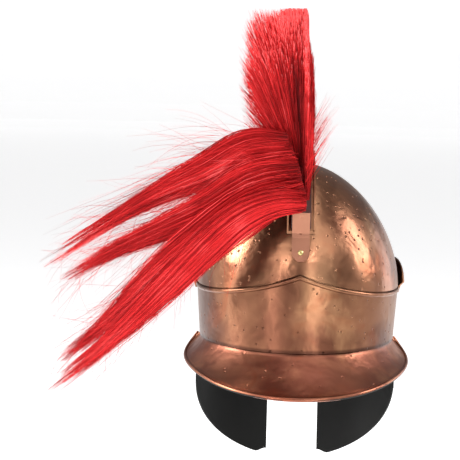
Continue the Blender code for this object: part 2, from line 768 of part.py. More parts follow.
def smooth_route(points, share):
    """A point of a smooth curve through a lock's rows, at a share of its length."""
    place = share * (len(points) - 1)
    index = min(int(place), len(points) - 2)
    t = place - index
    p1, p2 = Vector(points[index]), Vector(points[index + 1])
    p0 = Vector(points[index - 1]) if index > 0 else p1 * 2 - p2
    p3 = Vector(points[index + 2]) if index + 2 < len(points) else p2 * 2 - p1
    return 0.5 * (2 * p1 + (p2 - p0) * t + (2 * p0 - 5 * p1 + 4 * p2 - p3) * t * t
                  + (3 * p1 - p0 - 3 * p2 + p3) * t * t * t)


def route_place(row):
    """Place of a route's row, whose left, rear and up are shares of the named sizes."""
    return Vector((-row[0] * TAIL_REACH, -row[1] * SKULL_HALF_DEPTH, SPRING_HEIGHT + row[2] * DOME_HEIGHT))


def lock_sections(rows):
    sections = []
    for i in range(LOCK_STATIONS + 1):
        share = i / LOCK_STATIONS
        row = smooth_route(rows, share)
        ahead = smooth_route(rows, min(share + 0.02, 1.0))
        behind = smooth_route(rows, max(share - 0.02, 0.0))
        centre = route_place(row)
        along = (route_place(ahead) - route_place(behind)).normalized()
        flat = Vector((0.0, -1.0, 0.0))
        wide = along.cross(flat).normalized()
        thin = wide.cross(along).normalized()
        ring = []
        for step in range(LOCK_SIDES):
            turn = 2 * pi * step / LOCK_SIDES
            half = row[3] * TAIL_REACH
            ring.append(centre + (wide * cos(turn) + thin * LOCK_FLATNESS * sin(turn)) * half)
        sections.append(ring)
    return sections


def build_tail(material):
    """Long hair from the rear of the crest, in locks that sweep over the bowl to the left."""
    foot = SHEET + CLEARANCE + BASE_HEIGHT + HAIR_FOOT_GAP
    top = foot + TAIL_HEAD_HEIGHT
    heading = []
    for step in range(TAIL_HEAD_STATIONS + 1):
        lift = mix(*TAIL_HEAD_SPAN, step / TAIL_HEAD_STATIONS)
        centre, _, _ = midline_frame(lift, RAIL_STANDOFF)
        way_up = rail_up(lift)
        section = []
        for across, up in ((-1.0, foot), (1.0, foot), (0.8, top), (-0.8, top)):
            section.append(centre + Vector((across * BASE_HALF_WIDTH, 0.0, 0.0)) + way_up * up)
        heading.append(section)
    tail = loft("crest_tail", heading, material)
    for name, rows in TAIL_LOCKS.items():
        bm = bmesh.new()
        add_loft(bm, lock_sections(rows))
        bmesh.ops.recalc_face_normals(bm, faces=bm.faces)
        mesh = bpy.data.meshes.new(name)
        bm.to_mesh(mesh)
        bm.free()
        add_union(tail, bpy.data.objects.new(f"lock_{name}", mesh))
    return tail


def main():
    for obj in list(bpy.data.objects):
        bpy.data.objects.remove(obj, do_unlink=True)
    copper = plain_material("antique_copper", (0.45, 0.24, 0.15), 0.32, 1.0)
    dark_copper = plain_material("dark_copper", (0.25, 0.11, 0.07), 0.38, 1.0)
    black = plain_material("black_paint", (0.012, 0.012, 0.011), 0.55, 0.0)
    brass = plain_material("brass", (0.62, 0.52, 0.25), 0.35, 1.0)
    hair = plain_material("red_horsehair", (0.60, 0.01, 0.015), 0.5, 0.0)
    wood = plain_material("crest_block", (0.05, 0.01, 0.008), 0.7, 0.0)
    build_skull(copper)
    build_band(copper)
    build_neck_guard(dark_copper)
    build_frontlet(copper)
    for label, side in (("left", -1), ("right", 1)):
        build_cheek_guard(label, side, black)
        build_hinge_leaf(label, side, dark_copper)
        build_hinge_pin(label, side, brass)
    build_rail(copper)
    build_crest_base(wood)
    build_clip("rear", RAIL_REAR, -1.0, copper, brass)
    build_clip("front", RAIL_FRONT, 1.0, copper, brass)
    build_brush(hair)
    build_tail(hair)


main()
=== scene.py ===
"""Looks of the copper helmet: worn antique copper, black paint and red horsehair."""

from math import asin, cos, pi, radians, sin, sqrt

import bmesh
import bpy
import numpy as np
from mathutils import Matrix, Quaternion, Vector


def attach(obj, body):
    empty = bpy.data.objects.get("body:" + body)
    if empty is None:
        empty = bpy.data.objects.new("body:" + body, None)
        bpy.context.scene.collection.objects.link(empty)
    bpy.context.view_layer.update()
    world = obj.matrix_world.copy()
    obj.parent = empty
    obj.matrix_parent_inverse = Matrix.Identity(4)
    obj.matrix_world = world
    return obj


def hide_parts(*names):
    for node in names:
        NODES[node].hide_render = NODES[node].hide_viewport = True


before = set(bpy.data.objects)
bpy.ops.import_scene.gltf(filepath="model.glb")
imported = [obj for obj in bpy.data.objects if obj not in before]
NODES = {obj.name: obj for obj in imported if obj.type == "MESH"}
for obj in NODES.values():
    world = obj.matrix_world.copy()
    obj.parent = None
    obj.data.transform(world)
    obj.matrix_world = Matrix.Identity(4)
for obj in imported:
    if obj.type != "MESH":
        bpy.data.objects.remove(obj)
HAIR_RNG = np.random.default_rng(11)
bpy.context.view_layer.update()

# Sizes shared with the part
SHEET = 0.0014
CLEARANCE = 0.0005
SKULL_HALF_WIDTH = 0.1010
SKULL_HALF_DEPTH = 0.1150
SPRING_HEIGHT = 0.0540
DOME_HEIGHT = 0.1205
DOME_EXPONENT = 1.8
SKIRT_LENGTH = 0.0080
APEX_RING = 0.0006
BAND_FOOT_INSET = 0.0035
SEAM_SIDE_HEIGHT = 0.0520
SEAM_PEAK_RISE = 0.0240
SEAM_PEAK_SPREAD = radians(110)
SEAM_PEAK_CURVE = 3.1
BEAD_DEPTH = 0.0045
BEAD_SWELL = 0.0014
FACE_EDGE_HEIGHT = 0.0400
FACE_EDGE_START = radians(97)
FACE_EDGE_END = radians(112)
GUARD_LAP = 0.0070
NECK_REACH = 0.0450
NECK_SIDE_REACH = 0.0145
NECK_DROP = 0.0315
NECK_SIDE_DROP = 0.0195
NECK_SPAN = radians(97)
NECK_END_ROUNDNESS = 6
NECK_END_CROWDING = 0.15
NECK_SAG = 0.10
RIM_RADIUS = 0.0020
RIM_HALF_TURN = 0.75 * pi
CHEEK_SIDE_INSET = 0.0040
CHEEK_FRONT_INSET = 0.0070
CHEEK_HALF_WIDTH = SKULL_HALF_WIDTH - CHEEK_SIDE_INSET
CHEEK_HALF_DEPTH = SKULL_HALF_DEPTH - CHEEK_FRONT_INSET
CHEEK_TAPER = 0.16
CHEEK_FLARE = 0.0035
CHEEK_FLARE_DEPTH = 0.0450
CHEEK_TOP = 0.0315
CHEEK_TAPER_HEIGHT = 0.0100
CHEEK_REAR_ANGLE = radians(-2)
CHEEK_FRONT_ANGLE = radians(74.5)
CHEEK_CORNER_DROP = 0.0520
CHEEK_DEPTH = 0.0940
CHEEK_FULLNESS = 0.93
CHEEK_TIP_ROUND = 0.0060
CHEEK_TIP_START = radians(67)
CHEEK_REAR_TOP = -0.0430
CHEEK_REAR_RISE = (radians(13), radians(25))
CHEEK_EYE_CUT = (radians(44), CHEEK_FRONT_ANGLE)
CHEEK_EYE_TOP = -0.0450
HINGE_ANGLE = radians(36)
HINGE_HEIGHT = 0.0360
HINGE_OUTSET = 0.0010
KNUCKLE_RADIUS = 0.0026
PIN_RADIUS = 0.0011
BORE_CLEARANCE = 0.0004
KNUCKLE_LENGTH = 0.0160
KNUCKLE_GAP = 0.0005
STRAP_LAP = 0.0085
BRUSH_REAR_Y = -0.0620
BRUSH_FRONT_Y = 0.0780
BRUSH_TOP = 0.3280
BRUSH_REACH = 0.0560
BRUSH_FRONT_DROP = 0.1000
BRUSH_REAR_DROP = 0.0400
BRUSH_PEAK_Y = 0.0100
# Rows of the brush's spread: share of its height, then left and right as shares of BRUSH_REACH
BRUSH_SPREAD = [
    (0.00, 0.17, 0.17),
    (0.12, 0.48, 0.19),
    (0.24, 0.86, 0.20),
    (0.38, 0.86, 0.16),
    (0.52, 0.96, 0.17),
    (0.66, 0.98, 0.16),
    (0.80, 0.94, 0.08),
    (0.90, 0.87, 0.05),
    (1.00, 0.76, 0.04),
]
BRUSH_FOOT_LIFT = 0.0188
TAIL_REACH = 0.2500

# Rows of each lock's route, close to the solid tail's: left as a share of TAIL_REACH, rear as a
# share of the bowl's half depth, up as a share of the dome's height over its spring, and half
# width as a share of TAIL_REACH
TAIL_LOCKS = {
    "upper": [
        (0.054, 0.678, 1.207, 0.040), (0.203, 0.730, 1.139, 0.068), (0.358, 0.783, 0.968, 0.062),
        (0.526, 0.748, 0.803, 0.044), (0.737, 0.696, 0.546, 0.030), (0.978, 0.643, 0.209, 0.006),
    ],
    "under_upper": [
        (0.030, 0.730, 1.100, 0.044), (0.194, 0.800, 1.009, 0.060), (0.300, 0.817, 0.900, 0.040),
        (0.385, 0.783, 0.800, 0.006),
    ],
    "middle": [
        (0.009, 0.765, 0.984, 0.048), (0.181, 0.870, 0.889, 0.072), (0.368, 0.922, 0.669, 0.060),
        (0.577, 0.852, 0.462, 0.042), (0.740, 0.765, 0.290, 0.034), (0.905, 0.696, 0.074, 0.006),
    ],
    "inner_lower": [
        (-0.003, 0.817, 0.870, 0.048), (0.178, 0.957, 0.731, 0.072), (0.365, 1.009, 0.441, 0.072),
        (0.523, 0.939, 0.176, 0.064), (0.688, 0.852, -0.159, 0.044), (0.812, 0.783, -0.397, 0.024),
        (0.922, 0.730, -0.584, 0.006),
    ],
    "lower": [
        (-0.015, 0.896, 0.767, 0.040), (0.107, 0.974, 0.752, 0.044), (0.234, 1.061, 0.640, 0.050),
        (0.363, 1.078, 0.400, 0.056), (0.513, 0.991, 0.060, 0.052), (0.677, 0.904, -0.296, 0.040),
        (0.817, 0.817, -0.570, 0.020), (0.951, 0.748, -0.812, 0.006),
    ],
}

# Metal details of the scene alone
KEEL_HEIGHT = 0.0010
KEEL_HALF_TURN = 0.30
KEEL_FOOT = (0.05, 0.30)
KEEL_HEAD = (0.75, 1.05)
SKULL_ROW_CROWDING = 0.9
BEAD_ROUNDNESS = 0.7
KNUCKLE_STEPS = 24
UNDERSIDE_SLOPE = -0.25
RIM_MARGIN = 0.004
SHEET_SHARP_ANGLE = radians(48)
SOLID_SHARP_ANGLE = radians(30)

# Copper finishes: pale, middle and deep shades, roughness, share of pits, depth of the lumps, and
# the heights between which painted shade comes in where the band meets the brim
COPPERS = {
    "antique_copper": ((0.45, 0.245, 0.130), (0.280, 0.128, 0.070), (0.150, 0.060, 0.034),
                       0.26, 0.18, 0.0011, None),
    "brown_copper": ((0.46, 0.205, 0.105), (0.300, 0.118, 0.068), (0.190, 0.064, 0.040),
                     0.33, 0.06, 0.0010, (-0.0034, -0.0006)),
    # The band's finish is the bowl's copper painted darker, as painted shade on the band
    "band_copper_painted_shade": ((0.36, 0.190, 0.096), (0.205, 0.092, 0.050), (0.110, 0.043, 0.025),
                    0.28, 0.17, 0.0011, (0.0042, 0.0012)),
    "clip_copper": ((0.46, 0.235, 0.145), (0.35, 0.155, 0.098), (0.20, 0.078, 0.050),
                    0.34, 0.03, 0.0005, None),
}
REDDENING = (0.92, 0.62, 0.52)
PIT_COLOUR = (0.070, 0.032, 0.020)
# Painted shade where the band meets the brim
CREASE_PAINTED_SHADE = (0.040, 0.015, 0.010)
# Root, body, bright and pale shades of the hair; painted shade reaches the first, painted light the last
HAIR_SHADES = ((0.042, 0.0003, 0.0006), (0.29, 0.0030, 0.0042), (0.70, 0.024, 0.026), (0.90, 0.125, 0.125))

# Hairs: how their ribbons turn and taper, their numbers, half widths at the root and the share
# of it left at the tip
RIBBON_FACING = (0.10, 1.0, 0.25)
RIBBON_SCATTER = 0.45
RIBBON_TAPER = 2.5
TINY = 1e-12
HAIR_POINTS = 12
ANY_PHASE = 6.3
BRUSH_PARTS = 2
BRUSH_HAIRS = 9500
BRUSH_TUFTS = 150
BRUSH_HALF_WIDTHS = (0.00014, 0.00025)
BRUSH_TIP = 0.55
TAIL_HAIRS = 5200
TAIL_HALF_WIDTHS = (0.00014, 0.00026)
TAIL_TIP = 0.22
TAIL_STRAYS = 170
TAIL_STRAY_HALF_WIDTHS = (0.00008, 0.00015)
TAIL_STRAY_LENGTHS = (0.025, 0.085)
CREST_STRAYS = 420
CREST_STRAY_HALF_WIDTHS = (0.00010, 0.00017)
CREST_STRAY_LENGTHS = (0.03, 0.14)
STRAY_TIP = 0.4

# Shape of the standing hair
BRUSH_CLIMB = (0.0, 0.20, 0.40, 0.60, 0.80, 0.94, 1.0)
BRUSH_EDGE = 1.06
TUFT_LENGTHWAYS_SPREAD = 0.020
TUFT_SIDEWAYS_SPREAD = 0.22
TUFT_SHADE_SPREAD = 0.13
# Shares of the brush's length and half width over which the hairs change height
BRUSH_REAR_SHARES = (0.02, 0.30)
BRUSH_SIDE_SHARES = (0.35, 0.95)
REAR_SHORTENING = 0.66
SIDE_SHORTENING = 0.62
BRUSH_ROOT_DEPTH = 0.004
BRUSH_ROOT_HALF_WIDTH = 0.007
BRUSH_REAR_STEP = 0.004
BRUSH_REAR_SLANT = 0.018
BRUSH_SLANT_SHARES = (-0.25, 0.75)
BRUSH_REAR_LEAN = 0.016
BRUSH_RAGGED_TOP = 0.006
BRUSH_LEFT_SCATTER = 0.05
BRUSH_RIGHT_SCATTER = 0.08
BRUSH_TOP_FLARE = 0.12
BRUSH_TOP_SHARES = (0.75, 1.0)
BRUSH_LEFT_BEND = 1.25
BRUSH_WAVE = 0.0012
BRUSH_WAVE_RATE = 5.0
BRUSH_FAN = 0.030
BRUSH_FAN_CENTRE = 0.4
# Shades: mean and spread of hairs, then painted shade at roots and painted light at tips and cut ends
BRUSH_SHADE = (0.50, 0.20)
BRUSH_ROOT_PAINTED_SHADE = 0.12
BRUSH_ROOT_SHARES = (0.0, 0.2)
BRUSH_TIP_PAINTED_LIGHT = 0.12
CUT_END_PAINTED_LIGHT = 1.1
CUT_END_SHARES = (0.70, 0.95)
# Painted shade along the brush's parting
PARTING_PAINTED_SHADE = 0.34
# Rows of the painted shade along the parting: height, place to the left and right, half width
PARTING = [
    (0.150, -0.0035, 0.0045),
    (0.235, -0.0065, 0.0060),
    (0.262, -0.0110, 0.0120),
]
PARTING_END = (0.268, 0.300)

# Shape of the long hair and of the strays
LOCK_STRANDS = 80
STRAND_RADIUS = 0.84
LONGEST_STRAND = 1.03
STRAND_SHORTENING = 0.58
HAIR_SHORTENING = 0.42
LOCK_ROOT_SPREAD = 0.075
LOCK_TIP_CLOSING = 0.75
STRAND_END_SCATTER = 0.09
STRAND_MIDDLE_SCATTER = 0.15
SCATTER_LIMIT = 2.2
STRAND_WANDER = 0.13
STRAND_WAVE_RATES = (3.0, 8.0)
HAIR_WANDER = 0.05
HAIR_WAVE_RATES = (6.0, 14.0)
HAIR_DRIFT = 0.05
LOCK_FLATNESS = 0.42
LOCK_LEAST_HALF_WIDTH = 0.0085
LOCK_LEFT_LIMIT = -TAIL_REACH - 0.006
LOOSE_SHARE = 0.11
LOOSE_LIFT = 0.006
LOOSE_DRIFT = 1.2
TAIL_SHADE = (0.48, 0.22)
STRAND_SHADE_SPREAD = 0.20
# Painted shade at the roots of the long hair
TAIL_ROOT_PAINTED_SHADE = 0.40
TAIL_ROOT_SHARES = (0.0, 0.13)
# Painted shade: hairs at the back of each lock darker, those at its front lighter
DEPTH_PAINTED_SHADE = 0.16
STRAY_STARTS = (0.10, 0.92)
STRAY_LEFT_LIMIT = -TAIL_REACH - 0.004
STRAY_TOP_LIMIT = 0.330
STRAY_LOW_LIMIT = -0.060
# Where the crest's strays start: left to right, rear to front, low to high
CREST_STRAY_BOX = ((-0.045, -0.004), (-0.095, -0.070), (0.150, 0.196))
CREST_STRAY_CURL = 0.004
CREST_RIGHT_EDGE = 0.003

# Photograph's camera
PHOTO_AZIMUTH = radians(0.8)
PHOTO_ELEVATION = radians(6.8)
CAMERA_DISTANCE = 2.0
PHOTO_WIDTH = 0.4632
PHOTO_ROLL = radians(1.4)
AIM = Vector((-0.0693, 0.0, 0.1044))
SENSOR_WIDTH = 36.0

# Softboxes: name, place, width, height, power
SOFTBOXES = [
    ("left_softbox", (-1.62, 0.06, 0.90), 0.60, 0.70, 54.0),
    ("right_softbox", (1.50, 0.12, 0.90), 0.40, 1.00, 24.0),
    ("left_strip", (-1.62, -0.30, 0.28), 0.22, 1.36, 11.0),
    ("front_left_strip", (-0.95, -1.95, 0.28), 0.16, 1.36, 11.0),
    ("front_right_strip", (0.66, -2.00, 0.28), 0.13, 1.36, 8.0),
    ("top_softbox", (0.1, -0.3, 2.2), 1.6, 1.6, 16.0),
    ("left_spot", (-0.65, -1.52, 1.00), 0.16, 0.16, 5.0),
    ("right_spot", (0.58, -1.45, 1.15), 0.18, 0.18, 5.0),
    ("broad_left", (-1.05, -0.95, 1.30), 0.95, 0.95, 9.0),
    ("broad_right", (0.95, -1.00, 1.40), 0.80, 0.80, 5.0),
    ("left_low_strip", (-1.25, -0.10, -0.16), 0.14, 0.46, 1.8),
    ("front_left_low_strip", (-0.62, -1.05, -0.18), 0.09, 0.46, 1.2),
    ("front_right_low_strip", (0.40, -1.15, -0.18), 0.09, 0.46, 1.3),
    ("rear_right_softbox", (1.30, 1.00, 0.20), 0.50, 0.80, 4.0),
]
LIGHT_TARGET = Vector((0.0, 0.0, 0.08))
FLOOR_HEIGHT = -0.42
SWEEP_RADIUS = 9.0
SWEEP_HEIGHT = 1.5
SWEEP_STEPS = 8
SWEEP_COLUMNS = 96


class Socket:
    """A shader socket that takes part in plain arithmetic."""

    def __init__(self, tree, socket):
        self.tree = tree
        self.socket = socket

    def _maths(self, operation, *values):
        return self.tree.node("ShaderNodeMath", {"operation": operation}, dict(enumerate(values)))

    def __add__(self, other):
        return self._maths("ADD", self, other)

    def __radd__(self, other):
        return self._maths("ADD", other, self)

    def __sub__(self, other):
        return self._maths("SUBTRACT", self, other)

    def __rsub__(self, other):
        return self._maths("SUBTRACT", other, self)

    def __mul__(self, other):
        return self._maths("MULTIPLY", self, other)

    def __rmul__(self, other):
        return self._maths("MULTIPLY", other, self)

    def highest(self, other):
        return self._maths("MAXIMUM", self, other)

    def between(self, low, high):
        """Goes smoothly from 0 at low to 1 at high."""
        return self.tree.node("ShaderNodeMapRange", {"interpolation_type": "SMOOTHSTEP"},
                              {"Value": self, "From Min": low, "From Max": high})


class Finish:
    """A material whose nodes are written as expressions."""

    def __init__(self, name):
        self.material = bpy.data.materials.new(name)
        self.material.use_nodes = True
        self.tree = self.material.node_tree
        self.shader = self.tree.nodes["Principled BSDF"]

    def node(self, kind, settings=None, inputs=None, output=0):
        """Adds a node: its settings first, then the values or links of its sockets."""
        made = self.tree.nodes.new(kind)
        for key, value in (settings or {}).items():
            if key == "stops":
                self._set_stops(made.color_ramp.elements, value)
            else:
                setattr(made, key, value)
        for key, value in (inputs or {}).items():
            self._feed(made.inputs[key], value)
        return Socket(self, made.outputs[output])

    @staticmethod
    def _set_stops(elements, stops):
        while len(elements) < len(stops):
            elements.new(1.0)
        for element, (place, colour) in zip(elements, stops):
            element.position = place
            element.color = (*colour, 1.0)

    def _feed(self, target, value):
        if isinstance(value, Socket):
            self.tree.links.new(value.socket, target)
        elif target.type == "RGBA" and len(value) == 3:
            target.default_value = (*value, 1.0)
        else:
            target.default_value = value

    def set(self, **inputs):
        for key, value in inputs.items():
            self._feed(self.shader.inputs[key.replace("_", " ").title()], value)

    def place(self):
        return self.node("ShaderNodeTexCoord", output=3)

    def noise(self, scale, detail=2.0, roughness=0.5, stretch=None, distortion=0.0):
        vector = self.place()
        if stretch is not None:
            vector = self.node("ShaderNodeMapping", {}, {"Vector": vector, "Scale": stretch})
        return self.node("ShaderNodeTexNoise", {}, {
            "Vector": vector, "Scale": scale, "Detail": detail, "Roughness": roughness,
            "Distortion": distortion})

    def specks(self, scale, share, core, rim):
        """1 at the heart of a random share of the cells, 0 between them."""
        cell = self.node("ShaderNodeTexVoronoi", {"feature": "F1"}, {
            "Vector": self.place(), "Scale": scale})
        picked = self.node("ShaderNodeSeparateColor", {}, {
            "Color": Socket(self, cell.socket.node.outputs["Color"])})
        return (1 - cell.between(core, rim)) * picked.between(0.99 - share, 1.0 - share)

    def blend(self, share, low, high):
        return self.node("ShaderNodeMix", {"data_type": "RGBA"}, {0: share, 6: low, 7: high}, output=2)

    def ramp(self, share, stops):
        return self.node("ShaderNodeValToRGB", {"stops": stops}, {0: share})

    def relief(self, height, depth, strength=1.0, under=None):
        inputs = {"Height": height, "Distance": depth, "Strength": strength}
        if under is not None:
            inputs["Normal"] = under
        return self.node("ShaderNodeBump", {}, inputs)


def worn_copper(name, pale, mid, deep, roughness, pit_share, lump_depth, crease_shade_heights):
    """Antique copper: cloudy patches, darker stains, small pits, faint hammering and painted shade by
    height.
    """
    f = Finish(name)
    clouds = f.noise(14.0, 3.0, 0.55, distortion=0.6)
    stains = f.noise(26.0, 4.0, 0.6, stretch=(1.0, 1.0, 0.45))
    grime = f.noise(150.0, 3.0, 0.6)
    colour = f.blend(clouds.between(0.36, 0.62), deep, mid)
    colour = f.blend(stains.between(0.50, 0.80) * 0.55, colour, pale)
    red = tuple(channel * share for channel, share in zip(mid, REDDENING))
    colour = f.blend(f.noise(21.0, 2.0, 0.5, distortion=1.2).between(0.56, 0.72) * 0.55, colour, red)
    small_pits = f.specks(230.0, pit_share, 0.06, 0.34)
    pits = small_pits.highest(f.specks(120.0, pit_share * 0.40, 0.06, 0.20))
    colour = f.blend(pits * 0.32, colour, PIT_COLOUR)
    lumps = f.noise(42.0, 2.0, 0.5, distortion=0.4)
    # Painted shade: darker between the given heights, where the band meets the brim
    if crease_shade_heights is not None:
        height_up = f.node("ShaderNodeSeparateXYZ", {}, {0: f.place()}, output=2)
        colour = f.blend(height_up.between(*crease_shade_heights) * 0.75, colour, CREASE_PAINTED_SHADE)
    dents = f.specks(52.0, 0.22, 0.02, 0.45)
    height = 1 - pits - dents * 0.24 + clouds * 0.12
    fine = f.relief(grime, 0.00005, 0.5, f.relief(lumps, lump_depth))
    f.set(base_color=colour, metallic=1.0,
          roughness=roughness + (clouds - 0.5) * 0.14 + grime * 0.08 + pits * 0.3,
          normal=f.relief(height, 0.0008, 0.9, fine))
    return f.material


def black_paint(name):
    """Matt black paint, a little uneven, with a soft sheen."""
    f = Finish(name)
    brushed = f.noise(60.0, 4.0, 0.6, stretch=(1.0, 1.0, 0.4))
    colour = f.blend(brushed, (0.0025, 0.0025, 0.0024), (0.006, 0.0058, 0.0052))
    grain = f.noise(900.0, 2.0)
    f.set(base_color=colour, metallic=0.0, roughness=0.48 + brushed * 0.14,
          normal=f.relief(grain, 0.00006, 0.5, f.relief(f.noise(35.0, 2.0), 0.0006, 0.5)))
    f.shader.inputs["Specular IOR Level"].default_value = 0.12
    return f.material


def plain_brass(name):
    f = Finish(name)
    tarnish = f.noise(420.0, 3.0)
    colour = f.blend(tarnish.between(0.4, 0.65), (0.56, 0.47, 0.20), (0.30, 0.22, 0.09))
    f.set(base_color=colour, metallic=1.0, roughness=0.26 + tarnish * 0.2,
          normal=f.relief(tarnish, 0.0002, 0.6))
    return f.material


def stained_wood(name):
    f = Finish(name)
    rings = f.noise(90.0, 3.0, 0.6, stretch=(1.0, 0.15, 0.3))
    colour = f.blend(rings, (0.030, 0.008, 0.006), (0.085, 0.020, 0.014))
    f.set(base_color=colour, metallic=0.0, roughness=0.62 + rings * 0.15,
          normal=f.relief(rings, 0.0003, 0.5))
    return f.material


def dyed_hair(name, root, body, bright, pale):
    """Dyed horsehair: each hair has its own shade, with painted shade and light added, stored on the mesh,
    over slow streaks.
    """
    f = Finish(name)
    own = f.node("ShaderNodeAttribute", {"attribute_name": "hair_shade"}, {}, output=2)
    streak = f.noise(22.0, 2.0)
    shade = own * 0.75 + streak * 0.35
    colour = f.ramp(shade, [(0.05, root), (0.52, body), (0.90, bright), (1.0, pale)])
    f.set(base_color=colour, metallic=0.0, roughness=0.44 + own * 0.16)
    f.shader.inputs["Specular IOR Level"].default_value = 0.10
    return f.material


def mix(a, b, share):
    return a + (b - a) * share


def smooth_step(value, low, high):
    """0 below low, 1 above high, and a smooth rise between them."""
    share = min(max((value - low) / (high - low), 0.0), 1.0)
    return share * share * (3.0 - 2.0 * share)


def smooth_steps(values, low, high):
    """The same for an array."""
    share = np.clip((values - low) / (high - low), 0.0, 1.0)
    return share * share * (3.0 - 2.0 * share)


def add_loft(bm, sections, ring=False, strip_ends=False):
    """Joins closed sections of equal length into one body."""
    rows = [[bm.verts.new(point) for point in section] for section in sections]
    count = len(rows[0])
    pairs = list(zip(rows, rows[1:]))
    if ring:
        pairs.append((rows[-1], rows[0]))
    for near, far in pairs:
        for i in range(count):
            j = (i + 1) % count
            bm.faces.new((near[i], near[j], far[j], far[i]))
    if ring:
        return
    for row in (rows[0], rows[-1]):
        if strip_ends:
            for i in range(count // 2 - 1):
                bm.faces.new((row[i], row[i + 1], row[count - 2 - i], row[count - 1 - i]))
        else:
            bm.faces.new(row)


def piece_from(name, bm, materials, body, slot, *replaced):
    bmesh.ops.recalc_face_normals(bm, faces=bm.faces)
    mesh = bpy.data.meshes.new(name)
    bm.to_mesh(mesh)
    bm.free()
    for material in materials:
        mesh.materials.append(material)
    mesh.shade_smooth()
    mesh.set_sharp_from_angle(angle=SHEET_SHARP_ANGLE)
    piece = bpy.data.objects.new(name, mesh)
    bpy.context.scene.collection.objects.link(piece)
    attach(piece, body)
    if replaced:
        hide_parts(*replaced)
    return piece


def sheet_outline(path, thickness):
    """Closes a flat path of (out, up) pairs into a sheet, on its left side."""
    points = [Vector(point) for point in path]
    inner = []
    for i, point in enumerate(points):
        before = points[max(i - 1, 0)]
        after = points[min(i + 1, len(points) - 1)]
        along = (after - before).normalized()
        inner.append(point + Vector((-along.y, along.x)) * thickness)
    return [tuple(point) for point in points + inner[::-1]]


def oval_frame(angle, half_width, half_depth):
    place = Vector((half_width * sin(angle), -half_depth * cos(angle), 0.0))
    way_out = Vector((half_depth * sin(angle), -half_width * cos(angle), 0.0)).normalized()
    return place, way_out


def turn_from_nape(angle):
    return abs((angle + pi) % (2 * pi) - pi)


def seam_height(angle):
    rise = SEAM_PEAK_RISE * max(1.0 - turn_from_nape(angle) / SEAM_PEAK_SPREAD, 0.0) ** SEAM_PEAK_CURVE
    return SEAM_SIDE_HEIGHT + rise


def band_foot_height(angle):
    return FACE_EDGE_HEIGHT * smooth_step(turn_from_nape(angle), FACE_EDGE_START, FACE_EDGE_END)


def band_inset(height):
    return BAND_FOOT_INSET * (1.0 - min(max(height / SEAM_SIDE_HEIGHT, 0.0), 1.0))


def band_point(angle, height, outset=0.0):
    place, way_out = oval_frame(angle, SKULL_HALF_WIDTH, SKULL_HALF_DEPTH)
    point = place + way_out * (outset - band_inset(height))
    return Vector((point.x, point.y, height))


def dome_point(angle, lift, inset=0.0):
    share = max(cos(lift), 0.0) ** (2.0 / DOME_EXPONENT)
    rise = max(sin(lift), 0.0) ** (2.0 / DOME_EXPONENT)
    return Vector((
        (SKULL_HALF_WIDTH - inset) * share * sin(angle),
        -(SKULL_HALF_DEPTH - inset) * share * cos(angle),
        SPRING_HEIGHT + (DOME_HEIGHT - inset) * rise,
    ))


def lift_at_height(height):
    share = min(max((height - SPRING_HEIGHT) / DOME_HEIGHT, 0.0), 1.0)
    return asin(share ** (DOME_EXPONENT / 2.0))


def keel_swell(angle, lift):
    """Low ridge down the back of the bowl, from the crest's end to the band's point."""
    across = turn_from_nape(angle) * cos(lift)
    foot = smooth_step(lift, *KEEL_FOOT)
    head = 1.0 - smooth_step(lift, *KEEL_HEAD)
    return KEEL_HEIGHT * (1.0 - smooth_step(across, 0.0, KEEL_HALF_TURN)) * foot * head


def make_skull(copper, black):
    columns, rows = 180, 44
    angles = [2 * pi * i / columns for i in range(columns)]
    last = pi / 2 - APEX_RING / SKULL_HALF_WIDTH

    def dome_rings(inset):
        rings = []
        for row in range(rows + 1):
            ring = []
            for angle in angles:
                foot = seam_height(angle) + 2 * CLEARANCE
                lift = mix(lift_at_height(foot), last, (row / rows) ** SKULL_ROW_CROWDING)
                point = dome_point(angle, lift, inset)
                out = Vector((point.x, point.y, point.z - SPRING_HEIGHT)).normalized()
                point += out * keel_swell(angle, lift)
                if row == 0:
                    point.z = max(point.z, foot)
                ring.append(point)
            rings.append(ring)
        return rings

    def skirt_ring(drop, inset):
        ring = []
        for angle in angles:
            height = seam_height(angle) - drop
            foot = dome_point(angle, lift_at_height(seam_height(angle)))
            limit = foot.xy.length / oval_frame(angle, SKULL_HALF_WIDTH, SKULL_HALF_DEPTH)[0].length
            point = band_point(angle, height, -(SHEET + CLEARANCE + inset))
            ring.append(Vector((point.x * limit, point.y * limit, height)))
        return ring

    sections = dome_rings(0.0)[::-1]
    sections.append(skirt_ring(-CLEARANCE, 0.0))
    sections.append(skirt_ring(SKIRT_LENGTH, 0.0))
    outer_count = len(sections)
    sections.append(skirt_ring(SKIRT_LENGTH, SHEET))
    sections.append(skirt_ring(-CLEARANCE, SHEET))
    sections += dome_rings(SHEET)[1:]
    bm = bmesh.new()
    add_loft(bm, sections)
    bm.faces.ensure_lookup_table()
    for index, face in enumerate(bm.faces):
        face.material_index = 1 if index >= outer_count * columns else 0
    return piece_from("bowl", bm, (copper, black), "shell", "antique_copper", "skull")


